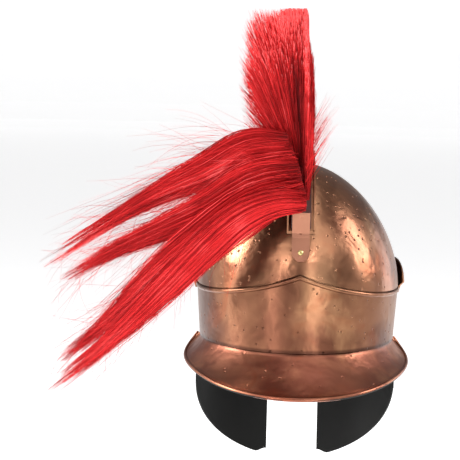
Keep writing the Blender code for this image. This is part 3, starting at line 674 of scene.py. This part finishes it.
def make_band(copper, black):
    columns, wall_steps, bead_steps = 240, 4, 8
    sections = []
    for i in range(columns):
        angle = 2 * pi * i / columns
        foot = band_foot_height(angle)
        top = seam_height(angle)
        limit = dome_point(angle, lift_at_height(top)).xy.length
        shrink = SKULL_HALF_WIDTH - limit / oval_frame(
            angle, 1.0, SKULL_HALF_DEPTH / SKULL_HALF_WIDTH)[0].length
        levels = [(mix(foot, top - BEAD_DEPTH, row / wall_steps), 0.0) for row in range(wall_steps + 1)]
        for step in range(1, bead_steps + 1):
            share = step / bead_steps
            swell = BEAD_SWELL * sin(pi * share) ** BEAD_ROUNDNESS
            levels.append((top - BEAD_DEPTH * (1.0 - share), swell))
        section = []
        for height, swell in levels:
            lean = shrink * (height - foot) / (top - foot)
            section.append(band_point(angle, height, swell - lean))
        for height, _ in levels[::-1]:
            lean = shrink * (height - foot) / (top - foot)
            section.append(band_point(angle, height, -SHEET - lean))
        sections.append(section)
    count = len(sections[0])
    bm = bmesh.new()
    add_loft(bm, sections, ring=True)
    for index, face in enumerate(bm.faces):
        face.material_index = 1 if index % count >= count // 2 else 0
    return piece_from("band", bm, (copper, black), "shell", "antique_copper", "neck_band")


def make_neck_guard(copper, black):
    columns, rows, rim_steps = 200, 14, 14
    sections = []
    for i in range(columns + 1):
        share = -1.0 + 2.0 * i / columns
        share = mix(share, sin(share * pi / 2), NECK_END_CROWDING)
        angle = share * NECK_SPAN
        fall_off = sqrt(max(1.0 - abs(share) ** NECK_END_ROUNDNESS, 0.0))
        blend = cos(angle) ** 3 if abs(angle) < pi / 2 else 0.0
        reach = mix(NECK_SIDE_REACH, NECK_REACH, blend) * fall_off + RIM_RADIUS + 2 * CLEARANCE
        drop = mix(NECK_SIDE_DROP, NECK_DROP, blend) * fall_off + RIM_RADIUS
        lap_out = -SHEET - CLEARANCE
        path = [(lap_out, GUARD_LAP), (lap_out, 0.0)]
        for row in range(1, rows + 1):
            along = row / rows
            sag = NECK_SAG * drop * sin(pi * along)
            path.append((mix(lap_out, reach, along), -2 * CLEARANCE - drop * along - sag))
        outline = sheet_outline(path[::-1], SHEET)
        tip = Vector(outline[0])
        middle = (tip + Vector(outline[-1])) / 2
        away = Vector((tip.x - outline[1][0], tip.y - outline[1][1])).normalized()
        side = Vector((-away.y, away.x))
        bead = []
        for step in range(rim_steps + 1):
            around = mix(-RIM_HALF_TURN, RIM_HALF_TURN, step / rim_steps)
            bead.append(tuple(middle + (away * cos(around) + side * sin(around)) * RIM_RADIUS))
        section = []
        for out, up in outline[1:-1] + bead:
            point = band_point(angle, 0.0, out)
            section.append(Vector((point.x, point.y, up)))
        sections.append(section)
    bm = bmesh.new()
    add_loft(bm, sections)
    bmesh.ops.recalc_face_normals(bm, faces=bm.faces)
    for face in bm.faces:
        above_rim = face.calc_center_median().z > -NECK_DROP - RIM_MARGIN
        face.material_index = 1 if above_rim and face.normal.z < UNDERSIDE_SLOPE else 0
    return piece_from("neck_brim", bm, (copper, black), "shell", "dark_copper", "neck_guard")


def cheek_point(angle, height, inset, side):
    half_depth = CHEEK_HALF_DEPTH + (height - CHEEK_TAPER_HEIGHT) * CHEEK_TAPER
    half_width = CHEEK_HALF_WIDTH + CHEEK_FLARE * smooth_step(-height, 0.0, CHEEK_FLARE_DEPTH)
    place = Vector((half_width * cos(angle), half_depth * sin(angle), 0.0))
    way_in = Vector((-half_depth * cos(angle), -half_width * sin(angle), 0.0)).normalized()
    point = place + way_in * inset
    return Vector((side * point.x, point.y, height))


def add_hinge_half(bm, side):
    """Middle knuckle and strap of a cheek guard's hinge."""
    place, way_out = oval_frame(pi / 2 + HINGE_ANGLE, SKULL_HALF_WIDTH, SKULL_HALF_DEPTH)
    centre = place + way_out * (HINGE_OUTSET - BAND_FOOT_INSET)
    centre = Vector((side * centre.x, centre.y, HINGE_HEIGHT))
    along = Vector((-way_out.y * side, way_out.x, 0.0))
    way_out = Vector((way_out.x * side, way_out.y, 0.0))
    up = Vector((0.0, 0.0, 1.0))
    half = KNUCKLE_LENGTH / 2
    bore = PIN_RADIUS + BORE_CLEARANCE
    rings = []
    for distance, radius in ((-half, bore), (-half, KNUCKLE_RADIUS), (half, KNUCKLE_RADIUS), (half, bore)):
        ring = []
        for step in range(KNUCKLE_STEPS):
            turn = 2 * pi * step / KNUCKLE_STEPS
            ring.append(centre + along * distance + (way_out * cos(turn) + up * sin(turn)) * radius)
        rings.append(ring)
    add_loft(bm, rings, ring=True)
    low, high = CHEEK_TOP - HINGE_HEIGHT - STRAP_LAP, -BORE_CLEARANCE
    near, far = -PIN_RADIUS - 2 * BORE_CLEARANCE, -KNUCKLE_RADIUS - SHEET
    ends = []
    for distance in (KNUCKLE_GAP - half, half - KNUCKLE_GAP):
        base = centre + along * distance
        ends.append([base + way_out * far + up * low, base + way_out * near + up * low,
                     base + way_out * near + up * high, base + way_out * far + up * high])
    add_loft(bm, ends)


def make_cheek(label, side, copper, black):
    columns, rows = 90, 40
    sections = []
    for i in range(columns + 1):
        angle = mix(CHEEK_REAR_ANGLE, CHEEK_FRONT_ANGLE, i / columns)
        low = -CHEEK_CORNER_DROP - CHEEK_DEPTH * max(sin(angle), 0.0) ** CHEEK_FULLNESS
        low += CHEEK_TIP_ROUND * smooth_step(angle, CHEEK_TIP_START, CHEEK_FRONT_ANGLE)
        high = mix(CHEEK_REAR_TOP, CHEEK_TOP, smooth_step(angle, *CHEEK_REAR_RISE))
        high = mix(high, CHEEK_EYE_TOP, smooth_step(angle, *CHEEK_EYE_CUT))
        outer = [cheek_point(angle, mix(low, high, row / rows), 0.0, side) for row in range(rows + 1)]
        inner = [cheek_point(angle, mix(low, high, row / rows), SHEET, side) for row in range(rows + 1)]
        sections.append(outer + inner[::-1])
    count = len(sections[0])
    bm = bmesh.new()
    add_loft(bm, sections, strip_ends=True)
    for index, face in enumerate(bm.faces):
        face.material_index = 0 if index % count < count // 2 - 1 and index < columns * count else 1
    add_hinge_half(bm, side)
    return piece_from(f"cheek_plate_{label}", bm, (copper, black), f"{label}_cheek", "black_paint",
                      f"cheek_guard_{label}")


def hair_mesh(name, paths, shades, half_widths, tip_share, material, *replaced):
    """Joins hairs into one mesh: paths is (hairs, points, 3), each hair a thin tapered ribbon."""
    hairs, points, _ = paths.shape
    along = np.gradient(paths, axis=1)
    along /= np.linalg.norm(along, axis=2, keepdims=True) + TINY
    guide = HAIR_RNG.normal(0.0, RIBBON_SCATTER, (hairs, 1, 3)) + np.array(RIBBON_FACING)
    side = np.cross(along, guide)
    side /= np.linalg.norm(side, axis=2, keepdims=True) + TINY
    taper = 1.0 - (1.0 - tip_share) * np.linspace(0.0, 1.0, points) ** RIBBON_TAPER
    offset = side * (half_widths[:, None] * taper[None, :])[:, :, None]
    verts = np.stack([paths - offset, paths + offset], axis=2).reshape(-1, 3)
    base = np.arange(hairs * points).reshape(hairs, points)[:, :-1].reshape(-1, 1) * 2
    quads = base + np.array([0, 1, 3, 2])
    mesh = bpy.data.meshes.new(name)
    mesh.vertices.add(len(verts))
    mesh.vertices.foreach_set("co", verts.astype(np.float32).ravel())
    mesh.loops.add(len(quads) * 4)
    mesh.loops.foreach_set("vertex_index", quads.astype(np.int32).ravel())
    mesh.polygons.add(len(quads))
    mesh.polygons.foreach_set("loop_start", np.arange(0, len(quads) * 4, 4, dtype=np.int32))
    mesh.update(calc_edges=True)
    mesh.validate()
    shade = mesh.attributes.new("hair_shade", "FLOAT", "POINT")
    spread = np.repeat(shades.reshape(-1), 2)
    shade.data.foreach_set("value", spread.astype(np.float32))
    mesh.materials.append(material)
    mesh.shade_smooth()
    piece = bpy.data.objects.new(name, mesh)
    bpy.context.scene.collection.objects.link(piece)
    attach(piece, "shell")
    if replaced:
        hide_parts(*replaced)
    return piece


def brush_top(y):
    rear = (y - BRUSH_PEAK_Y) / (BRUSH_REAR_Y - BRUSH_PEAK_Y)
    front = (y - BRUSH_PEAK_Y) / (BRUSH_FRONT_Y - BRUSH_PEAK_Y)
    return np.where(y < BRUSH_PEAK_Y, BRUSH_TOP - BRUSH_REAR_DROP * rear ** 2,
                    BRUSH_TOP - BRUSH_FRONT_DROP * front ** 2)


def brush_foot(y):
    share = np.minimum(np.abs(y) / SKULL_HALF_DEPTH, 1.0)
    rise = (1.0 - share ** DOME_EXPONENT) ** (1.0 / DOME_EXPONENT)
    return SPRING_HEIGHT + DOME_HEIGHT * rise


def painted_parting_shade(paths):
    """How deep each point of the hairs lies in the painted shade of the brush's parting, from 0 to 1."""
    heights, places, half_widths = np.array(PARTING).T
    height = paths[:, :, 2]
    aside = paths[:, :, 0] - np.interp(height, heights, places)
    core = np.exp(-(aside / np.interp(height, heights, half_widths)) ** 2)
    return core * (1.0 - smooth_steps(height, *PARTING_END))


def make_brush(material, hairs, part, rng):
    """Standing hairs of the crest in tufts, fanned out to the left, with uneven cut ends."""
    tuft = rng.integers(BRUSH_TUFTS, size=hairs)
    tuft_share = (np.arange(BRUSH_TUFTS) + rng.random(BRUSH_TUFTS)) / BRUSH_TUFTS
    tuft_across = rng.random(BRUSH_TUFTS) * 2.0 - 1.0
    tuft_shade = rng.normal(0.0, TUFT_SHADE_SPREAD, BRUSH_TUFTS)
    share = np.clip(tuft_share[tuft] + rng.normal(0.0, TUFT_LENGTHWAYS_SPREAD, hairs), 0.0, 1.0)
    across = tuft_across[tuft] + rng.normal(0.0, TUFT_SIDEWAYS_SPREAD, hairs)
    across = np.clip(across, -BRUSH_EDGE, BRUSH_EDGE)
    rear = 1.0 - smooth_steps(share, *BRUSH_REAR_SHARES)
    side = smooth_steps(np.abs(across), *BRUSH_SIDE_SHARES)
    shorter = np.maximum(SIDE_SHORTENING * side, REAR_SHORTENING * rear)
    reach_up = 1.0 - (rng.random(hairs) ** 1.2) * shorter
    slant = BRUSH_REAR_SLANT * smooth_steps(across, *BRUSH_SLANT_SHARES)
    y = mix(BRUSH_REAR_Y - BRUSH_REAR_STEP - slant, BRUSH_FRONT_Y, share)
    foot = brush_foot(y) + BRUSH_FOOT_LIFT - BRUSH_ROOT_DEPTH
    top = brush_top(y) - rng.random(hairs) ** 4 * BRUSH_RAGGED_TOP
    climb = np.array(BRUSH_CLIMB)[None, :] * reach_up[:, None]
    heights, lefts, rights = np.array(BRUSH_SPREAD).T
    end_left = BRUSH_REACH * np.interp(reach_up, heights, lefts)
    end_left *= 1.0 + rng.normal(0.0, BRUSH_LEFT_SCATTER, hairs)
    end_left *= 1.0 + BRUSH_TOP_FLARE * smooth_steps(reach_up, *BRUSH_TOP_SHARES)
    end_right = BRUSH_REACH * np.interp(reach_up, heights, rights)
    end_right *= 1.0 + rng.normal(0.0, BRUSH_RIGHT_SCATTER, hairs)
    end = np.where(across < 0.0, across * end_left, across * end_right)
    grown = climb / reach_up[:, None]
    bend = np.where(across < 0.0, BRUSH_LEFT_BEND, 1.0)[:, None]
    sideways = mix(across[:, None] * BRUSH_ROOT_HALF_WIDTH, end[:, None], grown ** bend)
    wave = np.sin(climb * BRUSH_WAVE_RATE + rng.random((hairs, 1)) * ANY_PHASE) * BRUSH_WAVE * climb
    fan = climb ** 1.5 * (share[:, None] - BRUSH_FAN_CENTRE) * BRUSH_FAN
    lean_back = BRUSH_REAR_LEAN * (rear * (1.0 - reach_up))[:, None] * grown ** 2
    paths = np.empty((*climb.shape, 3))
    paths[:, :, 0] = sideways + wave
    paths[:, :, 1] = y[:, None] + (fan - lean_back)
    paths[:, :, 2] = mix(foot[:, None], top[:, None], climb)
    own = np.clip(rng.normal(*BRUSH_SHADE, hairs) + tuft_shade[tuft], 0.05, 1.0)
    # Painted shade at the roots of the standing hair
    root = BRUSH_ROOT_PAINTED_SHADE * (1.0 - smooth_steps(climb, *BRUSH_ROOT_SHARES))
    # Painted shade in the parting and at the roots
    painted_shade = PARTING_PAINTED_SHADE * painted_parting_shade(paths) + root
    # Painted light: paler towards the tips, palest at the cut ends on top of the brush
    painted_cut_end_light = (grown > 0.99) * smooth_steps(climb, *CUT_END_SHARES)
    painted_cut_end_light = painted_cut_end_light * (CUT_END_PAINTED_LIGHT * rng.random((hairs, 1)) ** 0.7)
    shades = np.clip(own[:, None] - painted_shade + BRUSH_TIP_PAINTED_LIGHT * grown ** 4 + painted_cut_end_light, 0.0, 1.4)
    widths = rng.uniform(*BRUSH_HALF_WIDTHS, hairs)
    replaced = ("crest_brush",) if part == 0 else ()
    return hair_mesh(f"standing_hair_{part}", paths, shades, widths, BRUSH_TIP, material, *replaced)


def smooth_route(rows, shares):
    """Points of a smooth curve through a lock's rows, at shares of its length."""
    table = np.array(rows)
    table = np.vstack([table[0] * 2 - table[1], table, table[-1] * 2 - table[-2]])
    place = shares * (len(rows) - 1)
    index = np.minimum(place.astype(int), len(rows) - 2)
    t = (place - index)[..., None]
    p0, p1, p2, p3 = (table[index + k] for k in range(4))
    return 0.5 * (2 * p1 + (p2 - p0) * t + (2 * p0 - 5 * p1 + 4 * p2 - p3) * t * t
                  + (3 * p1 - p0 - 3 * p2 + p3) * t * t * t)


def make_tail_lock(label, rows, material, hairs, rng, *replaced):
    """One lock of long hair: strands keep their place across it, wander and part at its tip."""
    strand = rng.integers(LOCK_STRANDS, size=hairs)
    strand_turn = rng.random(LOCK_STRANDS) * 2 * pi
    strand_radius = rng.random(LOCK_STRANDS) ** 0.5 * STRAND_RADIUS
    strand_length = LONGEST_STRAND - STRAND_SHORTENING * rng.random(LOCK_STRANDS) ** 1.15
    length = strand_length[strand] * (1.0 - rng.random(hairs) ** 1.3 * HAIR_SHORTENING)
    loose = (rng.random(hairs) < LOOSE_SHARE) * rng.normal(0.0, 1.0, hairs)
    first = rng.random(hairs) ** 1.5 * LOCK_ROOT_SPREAD
    grown = np.linspace(0.0, 1.0, HAIR_POINTS)[None, :]
    shares = mix(first[:, None], length[:, None], grown)
    route = smooth_route(rows, shares)
    centre = np.stack([-route[..., 0] * TAIL_REACH, -route[..., 1] * SKULL_HALF_DEPTH,
                       SPRING_HEIGHT + route[..., 2] * DOME_HEIGHT], axis=-1)
    along = np.gradient(centre, axis=1)
    along /= np.linalg.norm(along, axis=2, keepdims=True)
    wide = np.cross(along, np.array([0.0, -1.0, 0.0]))
    wide /= np.linalg.norm(wide, axis=2, keepdims=True)
    thin = np.cross(wide, along)
    half = np.maximum(route[..., 3] * TAIL_REACH, LOCK_LEAST_HALF_WIDTH)
    closing = 1.0 - LOCK_TIP_CLOSING * (shares / strand_length[strand][:, None]) ** 4
    middle = np.sin(np.clip(shares, 0.0, 1.0) ** 0.6 * pi)
    gather = (STRAND_END_SCATTER + STRAND_MIDDLE_SCATTER * middle) * closing
    own_place = np.clip(rng.normal(0.0, 1.0, (2, hairs, 1)), -SCATTER_LIMIT, SCATTER_LIMIT)
    own_across, own_depth = own_place * gather
    phase = strand_turn[strand][:, None]
    strand_rate = rng.uniform(*STRAND_WAVE_RATES, LOCK_STRANDS)[strand][:, None]
    wander = np.sin(shares * strand_rate + phase) * STRAND_WANDER
    across = (np.cos(strand_turn) * strand_radius)[strand][:, None] + own_across + wander * shares
    across += (loose[:, None] * LOOSE_DRIFT + rng.normal(0.0, HAIR_DRIFT, (hairs, 1))) * shares ** 2
    across += np.sin(shares * rng.uniform(*HAIR_WAVE_RATES, (hairs, 1)) + phase) * HAIR_WANDER * shares
    depth = (np.sin(strand_turn) * strand_radius)[strand][:, None] + own_depth
    paths = centre + wide * (across * half)[..., None] + thin * (depth * half * LOCK_FLATNESS)[..., None]
    paths[..., 2] += (np.abs(loose) * LOOSE_LIFT)[:, None] * shares ** 2
    strand_shade = rng.normal(0.0, STRAND_SHADE_SPREAD, LOCK_STRANDS)[strand]
    own = np.clip(rng.normal(*TAIL_SHADE, hairs) + strand_shade, 0.05, 1.0)
    # Painted shade: each lock darker at its roots
    root = TAIL_ROOT_PAINTED_SHADE * (1.0 - smooth_steps(shares, *TAIL_ROOT_SHARES))
    # Painted shade by each hair's depth in its lock
    shades = np.clip(own[:, None] - root + DEPTH_PAINTED_SHADE * depth, 0.0, 1.0)
    within = paths[..., 0].min(axis=1) > LOCK_LEFT_LIMIT
    widths = rng.uniform(*TAIL_HALF_WIDTHS, hairs)[within]
    return hair_mesh(f"long_hair_{label}", paths[within], shades[within], widths, TAIL_TIP, material,
                     *replaced)


def make_wisps(material, hairs, rng):
    """Stray hairs that leave the locks of the tail with slow curls of their own."""
    shares = np.linspace(0.0, 1.0, HAIR_POINTS)[None, :]
    parts = []
    for rows in TAIL_LOCKS.values():
        start = rng.uniform(*STRAY_STARTS, hairs)
        near = smooth_route(rows, start)
        ahead = smooth_route(rows, np.minimum(start + 0.05, 1.0)) - near
        heading = np.arctan2(ahead[:, 2] * DOME_HEIGHT, ahead[:, 0] * TAIL_REACH)[:, None]
        edge = np.clip(rng.normal(0.0, 0.7, hairs), -1.1, 1.1)
        length = rng.uniform(*TAIL_STRAY_LENGTHS, hairs)[:, None]
        turn = heading + rng.normal(0.10, 0.22, (hairs, 1)) - rng.normal(0.25, 0.55, (hairs, 1)) * shares
        curls = rng.uniform(2.0, 7.0, (hairs, 1))
        phase = rng.random((hairs, 1)) * 2 * pi
        turn = turn + 0.25 * np.sin(shares * curls + phase)
        paths = np.empty((hairs, HAIR_POINTS, 3))
        step = length / (HAIR_POINTS - 1)
        paths[..., 0] = -(near[:, 0, None] * TAIL_REACH + np.cumsum(np.cos(turn) * step, axis=1))
        sway = rng.normal(0.0, 0.14, (hairs, 1)) * length * shares
        paths[..., 1] = -near[:, 1, None] * SKULL_HALF_DEPTH + sway
        rise = near[:, 2] * DOME_HEIGHT + edge * near[:, 3] * TAIL_REACH
        paths[..., 2] = SPRING_HEIGHT + rise[:, None] + np.cumsum(np.sin(turn) * step, axis=1)
        parts.append(paths)
    paths = np.concatenate(parts)
    inside = (paths[..., 0].min(axis=1) > STRAY_LEFT_LIMIT) & (paths[..., 2].max(axis=1) < STRAY_TOP_LIMIT)
    inside &= paths[..., 2].min(axis=1) > STRAY_LOW_LIMIT
    paths = paths[inside]
    shades = np.repeat(rng.uniform(0.30, 0.85, (len(paths), 1)), HAIR_POINTS, axis=1)
    widths = rng.uniform(*TAIL_STRAY_HALF_WIDTHS, len(paths))
    return hair_mesh("stray_tail_hair", paths, shades, widths, STRAY_TIP, material)


def make_crest_wisps(material, hairs, rng):
    """Stray hairs that drift off to the left of the crest, and a third that rise at its right."""
    shares = np.linspace(0.0, 1.0, HAIR_POINTS)[None, :]
    start = np.stack([rng.uniform(*limits, hairs) for limits in CREST_STRAY_BOX], axis=-1)
    length = rng.uniform(*CREST_STRAY_LENGTHS, hairs)[:, None]
    lift = rng.normal(0.12, 0.26, hairs)[:, None]
    droop = rng.uniform(0.10, 0.75, hairs)[:, None]
    curls = rng.uniform(2.0, 6.0, (hairs, 1))
    curl = np.sin(shares * curls + rng.random((hairs, 1)) * ANY_PHASE) * CREST_STRAY_CURL * shares
    paths = np.empty((hairs, HAIR_POINTS, 3))
    paths[..., 0] = start[:, None, 0] - length * shares * (1.0 - 0.25 * np.abs(lift))
    paths[..., 1] = start[:, None, 1] + rng.normal(0.0, 0.16, (hairs, 1)) * length * shares
    paths[..., 2] = start[:, None, 2] + length * (lift * shares - droop * shares ** 2) + curl
    right = np.arange(hairs) % 3 == 0
    aside = 0.14 * (0.001 + length * shares)[right] * (1.0 + np.abs(lift))[right]
    paths[right, :, 0] = CREST_RIGHT_EDGE + aside
    paths[right, :, 2] = (start[:, None, 2] + 0.030 * droop + 0.32 * length * shares)[right]
    shades = np.repeat(rng.uniform(0.35, 0.9, (hairs, 1)), HAIR_POINTS, axis=1)
    widths = rng.uniform(*CREST_STRAY_HALF_WIDTHS, hairs)
    return hair_mesh("stray_hair", paths, shades, widths, STRAY_TIP, material)


def dress_node(name, material):
    """Shows a solid of the part as it is, in the given finish."""
    node = NODES[name]
    node.data.materials.clear()
    node.data.materials.append(material)
    node.data.shade_smooth()
    node.data.set_sharp_from_angle(angle=SOLID_SHARP_ANGLE)


def set_camera():
    camera = bpy.data.objects.new("camera", bpy.data.cameras.new("camera"))
    bpy.context.scene.collection.objects.link(camera)
    away = Vector((
        sin(PHOTO_AZIMUTH) * cos(PHOTO_ELEVATION),
        -cos(PHOTO_AZIMUTH) * cos(PHOTO_ELEVATION),
        sin(PHOTO_ELEVATION),
    ))
    camera.location = AIM + away * CAMERA_DISTANCE
    facing = (-away).to_track_quat("-Z", "Y")
    camera.rotation_euler = (facing @ Quaternion((0.0, 0.0, 1.0), PHOTO_ROLL)).to_euler()
    camera.data.sensor_width = SENSOR_WIDTH
    camera.data.lens = SENSOR_WIDTH * CAMERA_DISTANCE / PHOTO_WIDTH
    camera.data.clip_end = 100.0
    bpy.context.scene.camera = camera


def softbox(name, place, width, height, power):
    lamp = bpy.data.lights.new(name, "AREA")
    lamp.shape = "RECTANGLE"
    lamp.size = width
    lamp.size_y = height
    lamp.energy = power
    obj = bpy.data.objects.new(name, lamp)
    obj.location = place
    obj.rotation_euler = (LIGHT_TARGET - Vector(place)).to_track_quat("-Z", "Y").to_euler()
    bpy.context.scene.collection.objects.link(obj)


def set_studio():
    world = bpy.data.worlds.new("studio")
    world.use_nodes = True
    background = world.node_tree.nodes["Background"]
    background.inputs["Color"].default_value = (0.90, 0.90, 0.92, 1.0)
    background.inputs["Strength"].default_value = 0.30
    bpy.context.scene.world = world
    bpy.context.scene.view_settings.view_transform = "Standard"
    for light in SOFTBOXES:
        softbox(*light)


def pale_paper(name):
    """Paper that glows a little, so that the ground stays near white."""
    paper = bpy.data.materials.new(name)
    paper.use_nodes = True
    inputs = paper.node_tree.nodes["Principled BSDF"].inputs
    inputs["Base Color"].default_value = (0.85, 0.85, 0.85, 1.0)
    inputs["Roughness"].default_value = 0.9
    inputs["Specular IOR Level"].default_value = 0.1
    inputs["Emission Color"].default_value = (1.0, 1.0, 1.0, 1.0)
    inputs["Emission Strength"].default_value = 0.62
    return paper


def make_floor():
    """A wide round floor whose edge sweeps up to the horizon."""
    bm = bmesh.new()
    profile = [(0.01, 0.0), (SWEEP_RADIUS, 0.0)]
    for step in range(1, SWEEP_STEPS + 1):
        turn = pi / 2 * step / SWEEP_STEPS
        profile.append((SWEEP_RADIUS + SWEEP_HEIGHT * sin(turn), SWEEP_HEIGHT * (1.0 - cos(turn))))
    turns = [2 * pi * i / SWEEP_COLUMNS for i in range(SWEEP_COLUMNS)]
    add_loft(bm, [[Vector((radius * cos(turn), radius * sin(turn), height)) for turn in turns]
                  for radius, height in profile])
    bm.faces.ensure_lookup_table()
    bmesh.ops.delete(bm, geom=[bm.faces[-1]], context="FACES_ONLY")
    bmesh.ops.recalc_face_normals(bm, faces=bm.faces)
    mesh = bpy.data.meshes.new("floor")
    bm.to_mesh(mesh)
    bm.free()
    floor = bpy.data.objects.new("floor", mesh)
    floor.location = (0.0, 0.0, FLOOR_HEIGHT)
    bpy.context.scene.collection.objects.link(floor)
    mesh.materials.append(pale_paper("pale_paper"))


def main():
    copper, dark_copper, band_copper_painted_shade, clip_copper = (
        worn_copper(name, *row) for name, row in COPPERS.items())
    black = black_paint("black_paint")
    brass = plain_brass("brass_rivet")
    wood = stained_wood("red_stained_wood")
    hair = dyed_hair("dyed_red_horsehair", *HAIR_SHADES)
    make_skull(copper, black)
    make_band(band_copper_painted_shade, black)
    make_neck_guard(dark_copper, black)
    for label, side in (("left", -1), ("right", 1)):
        make_cheek(label, side, copper, black)
        dress_node(f"hinge_leaf_{label}", dark_copper)
        dress_node(f"hinge_pin_{label}", brass)
    for name in ("frontlet", "crest_rail"):
        dress_node(name, copper)
    for name in ("rear_clip", "front_clip"):
        dress_node(name, clip_copper)
    for name in ("rear_clip_rivet", "front_clip_rivet"):
        dress_node(name, brass)
    dress_node("crest_base", wood)
    rng = np.random.default_rng(7)
    for part in range(BRUSH_PARTS):
        make_brush(hair, BRUSH_HAIRS, part, rng)
    replaced = ("crest_tail",)
    for label, rows in TAIL_LOCKS.items():
        make_tail_lock(label, rows, hair, TAIL_HAIRS, rng, *replaced)
        replaced = ()
    make_wisps(hair, TAIL_STRAYS, rng)
    make_crest_wisps(hair, CREST_STRAYS, rng)
    set_camera()
    set_studio()
    make_floor()


main()
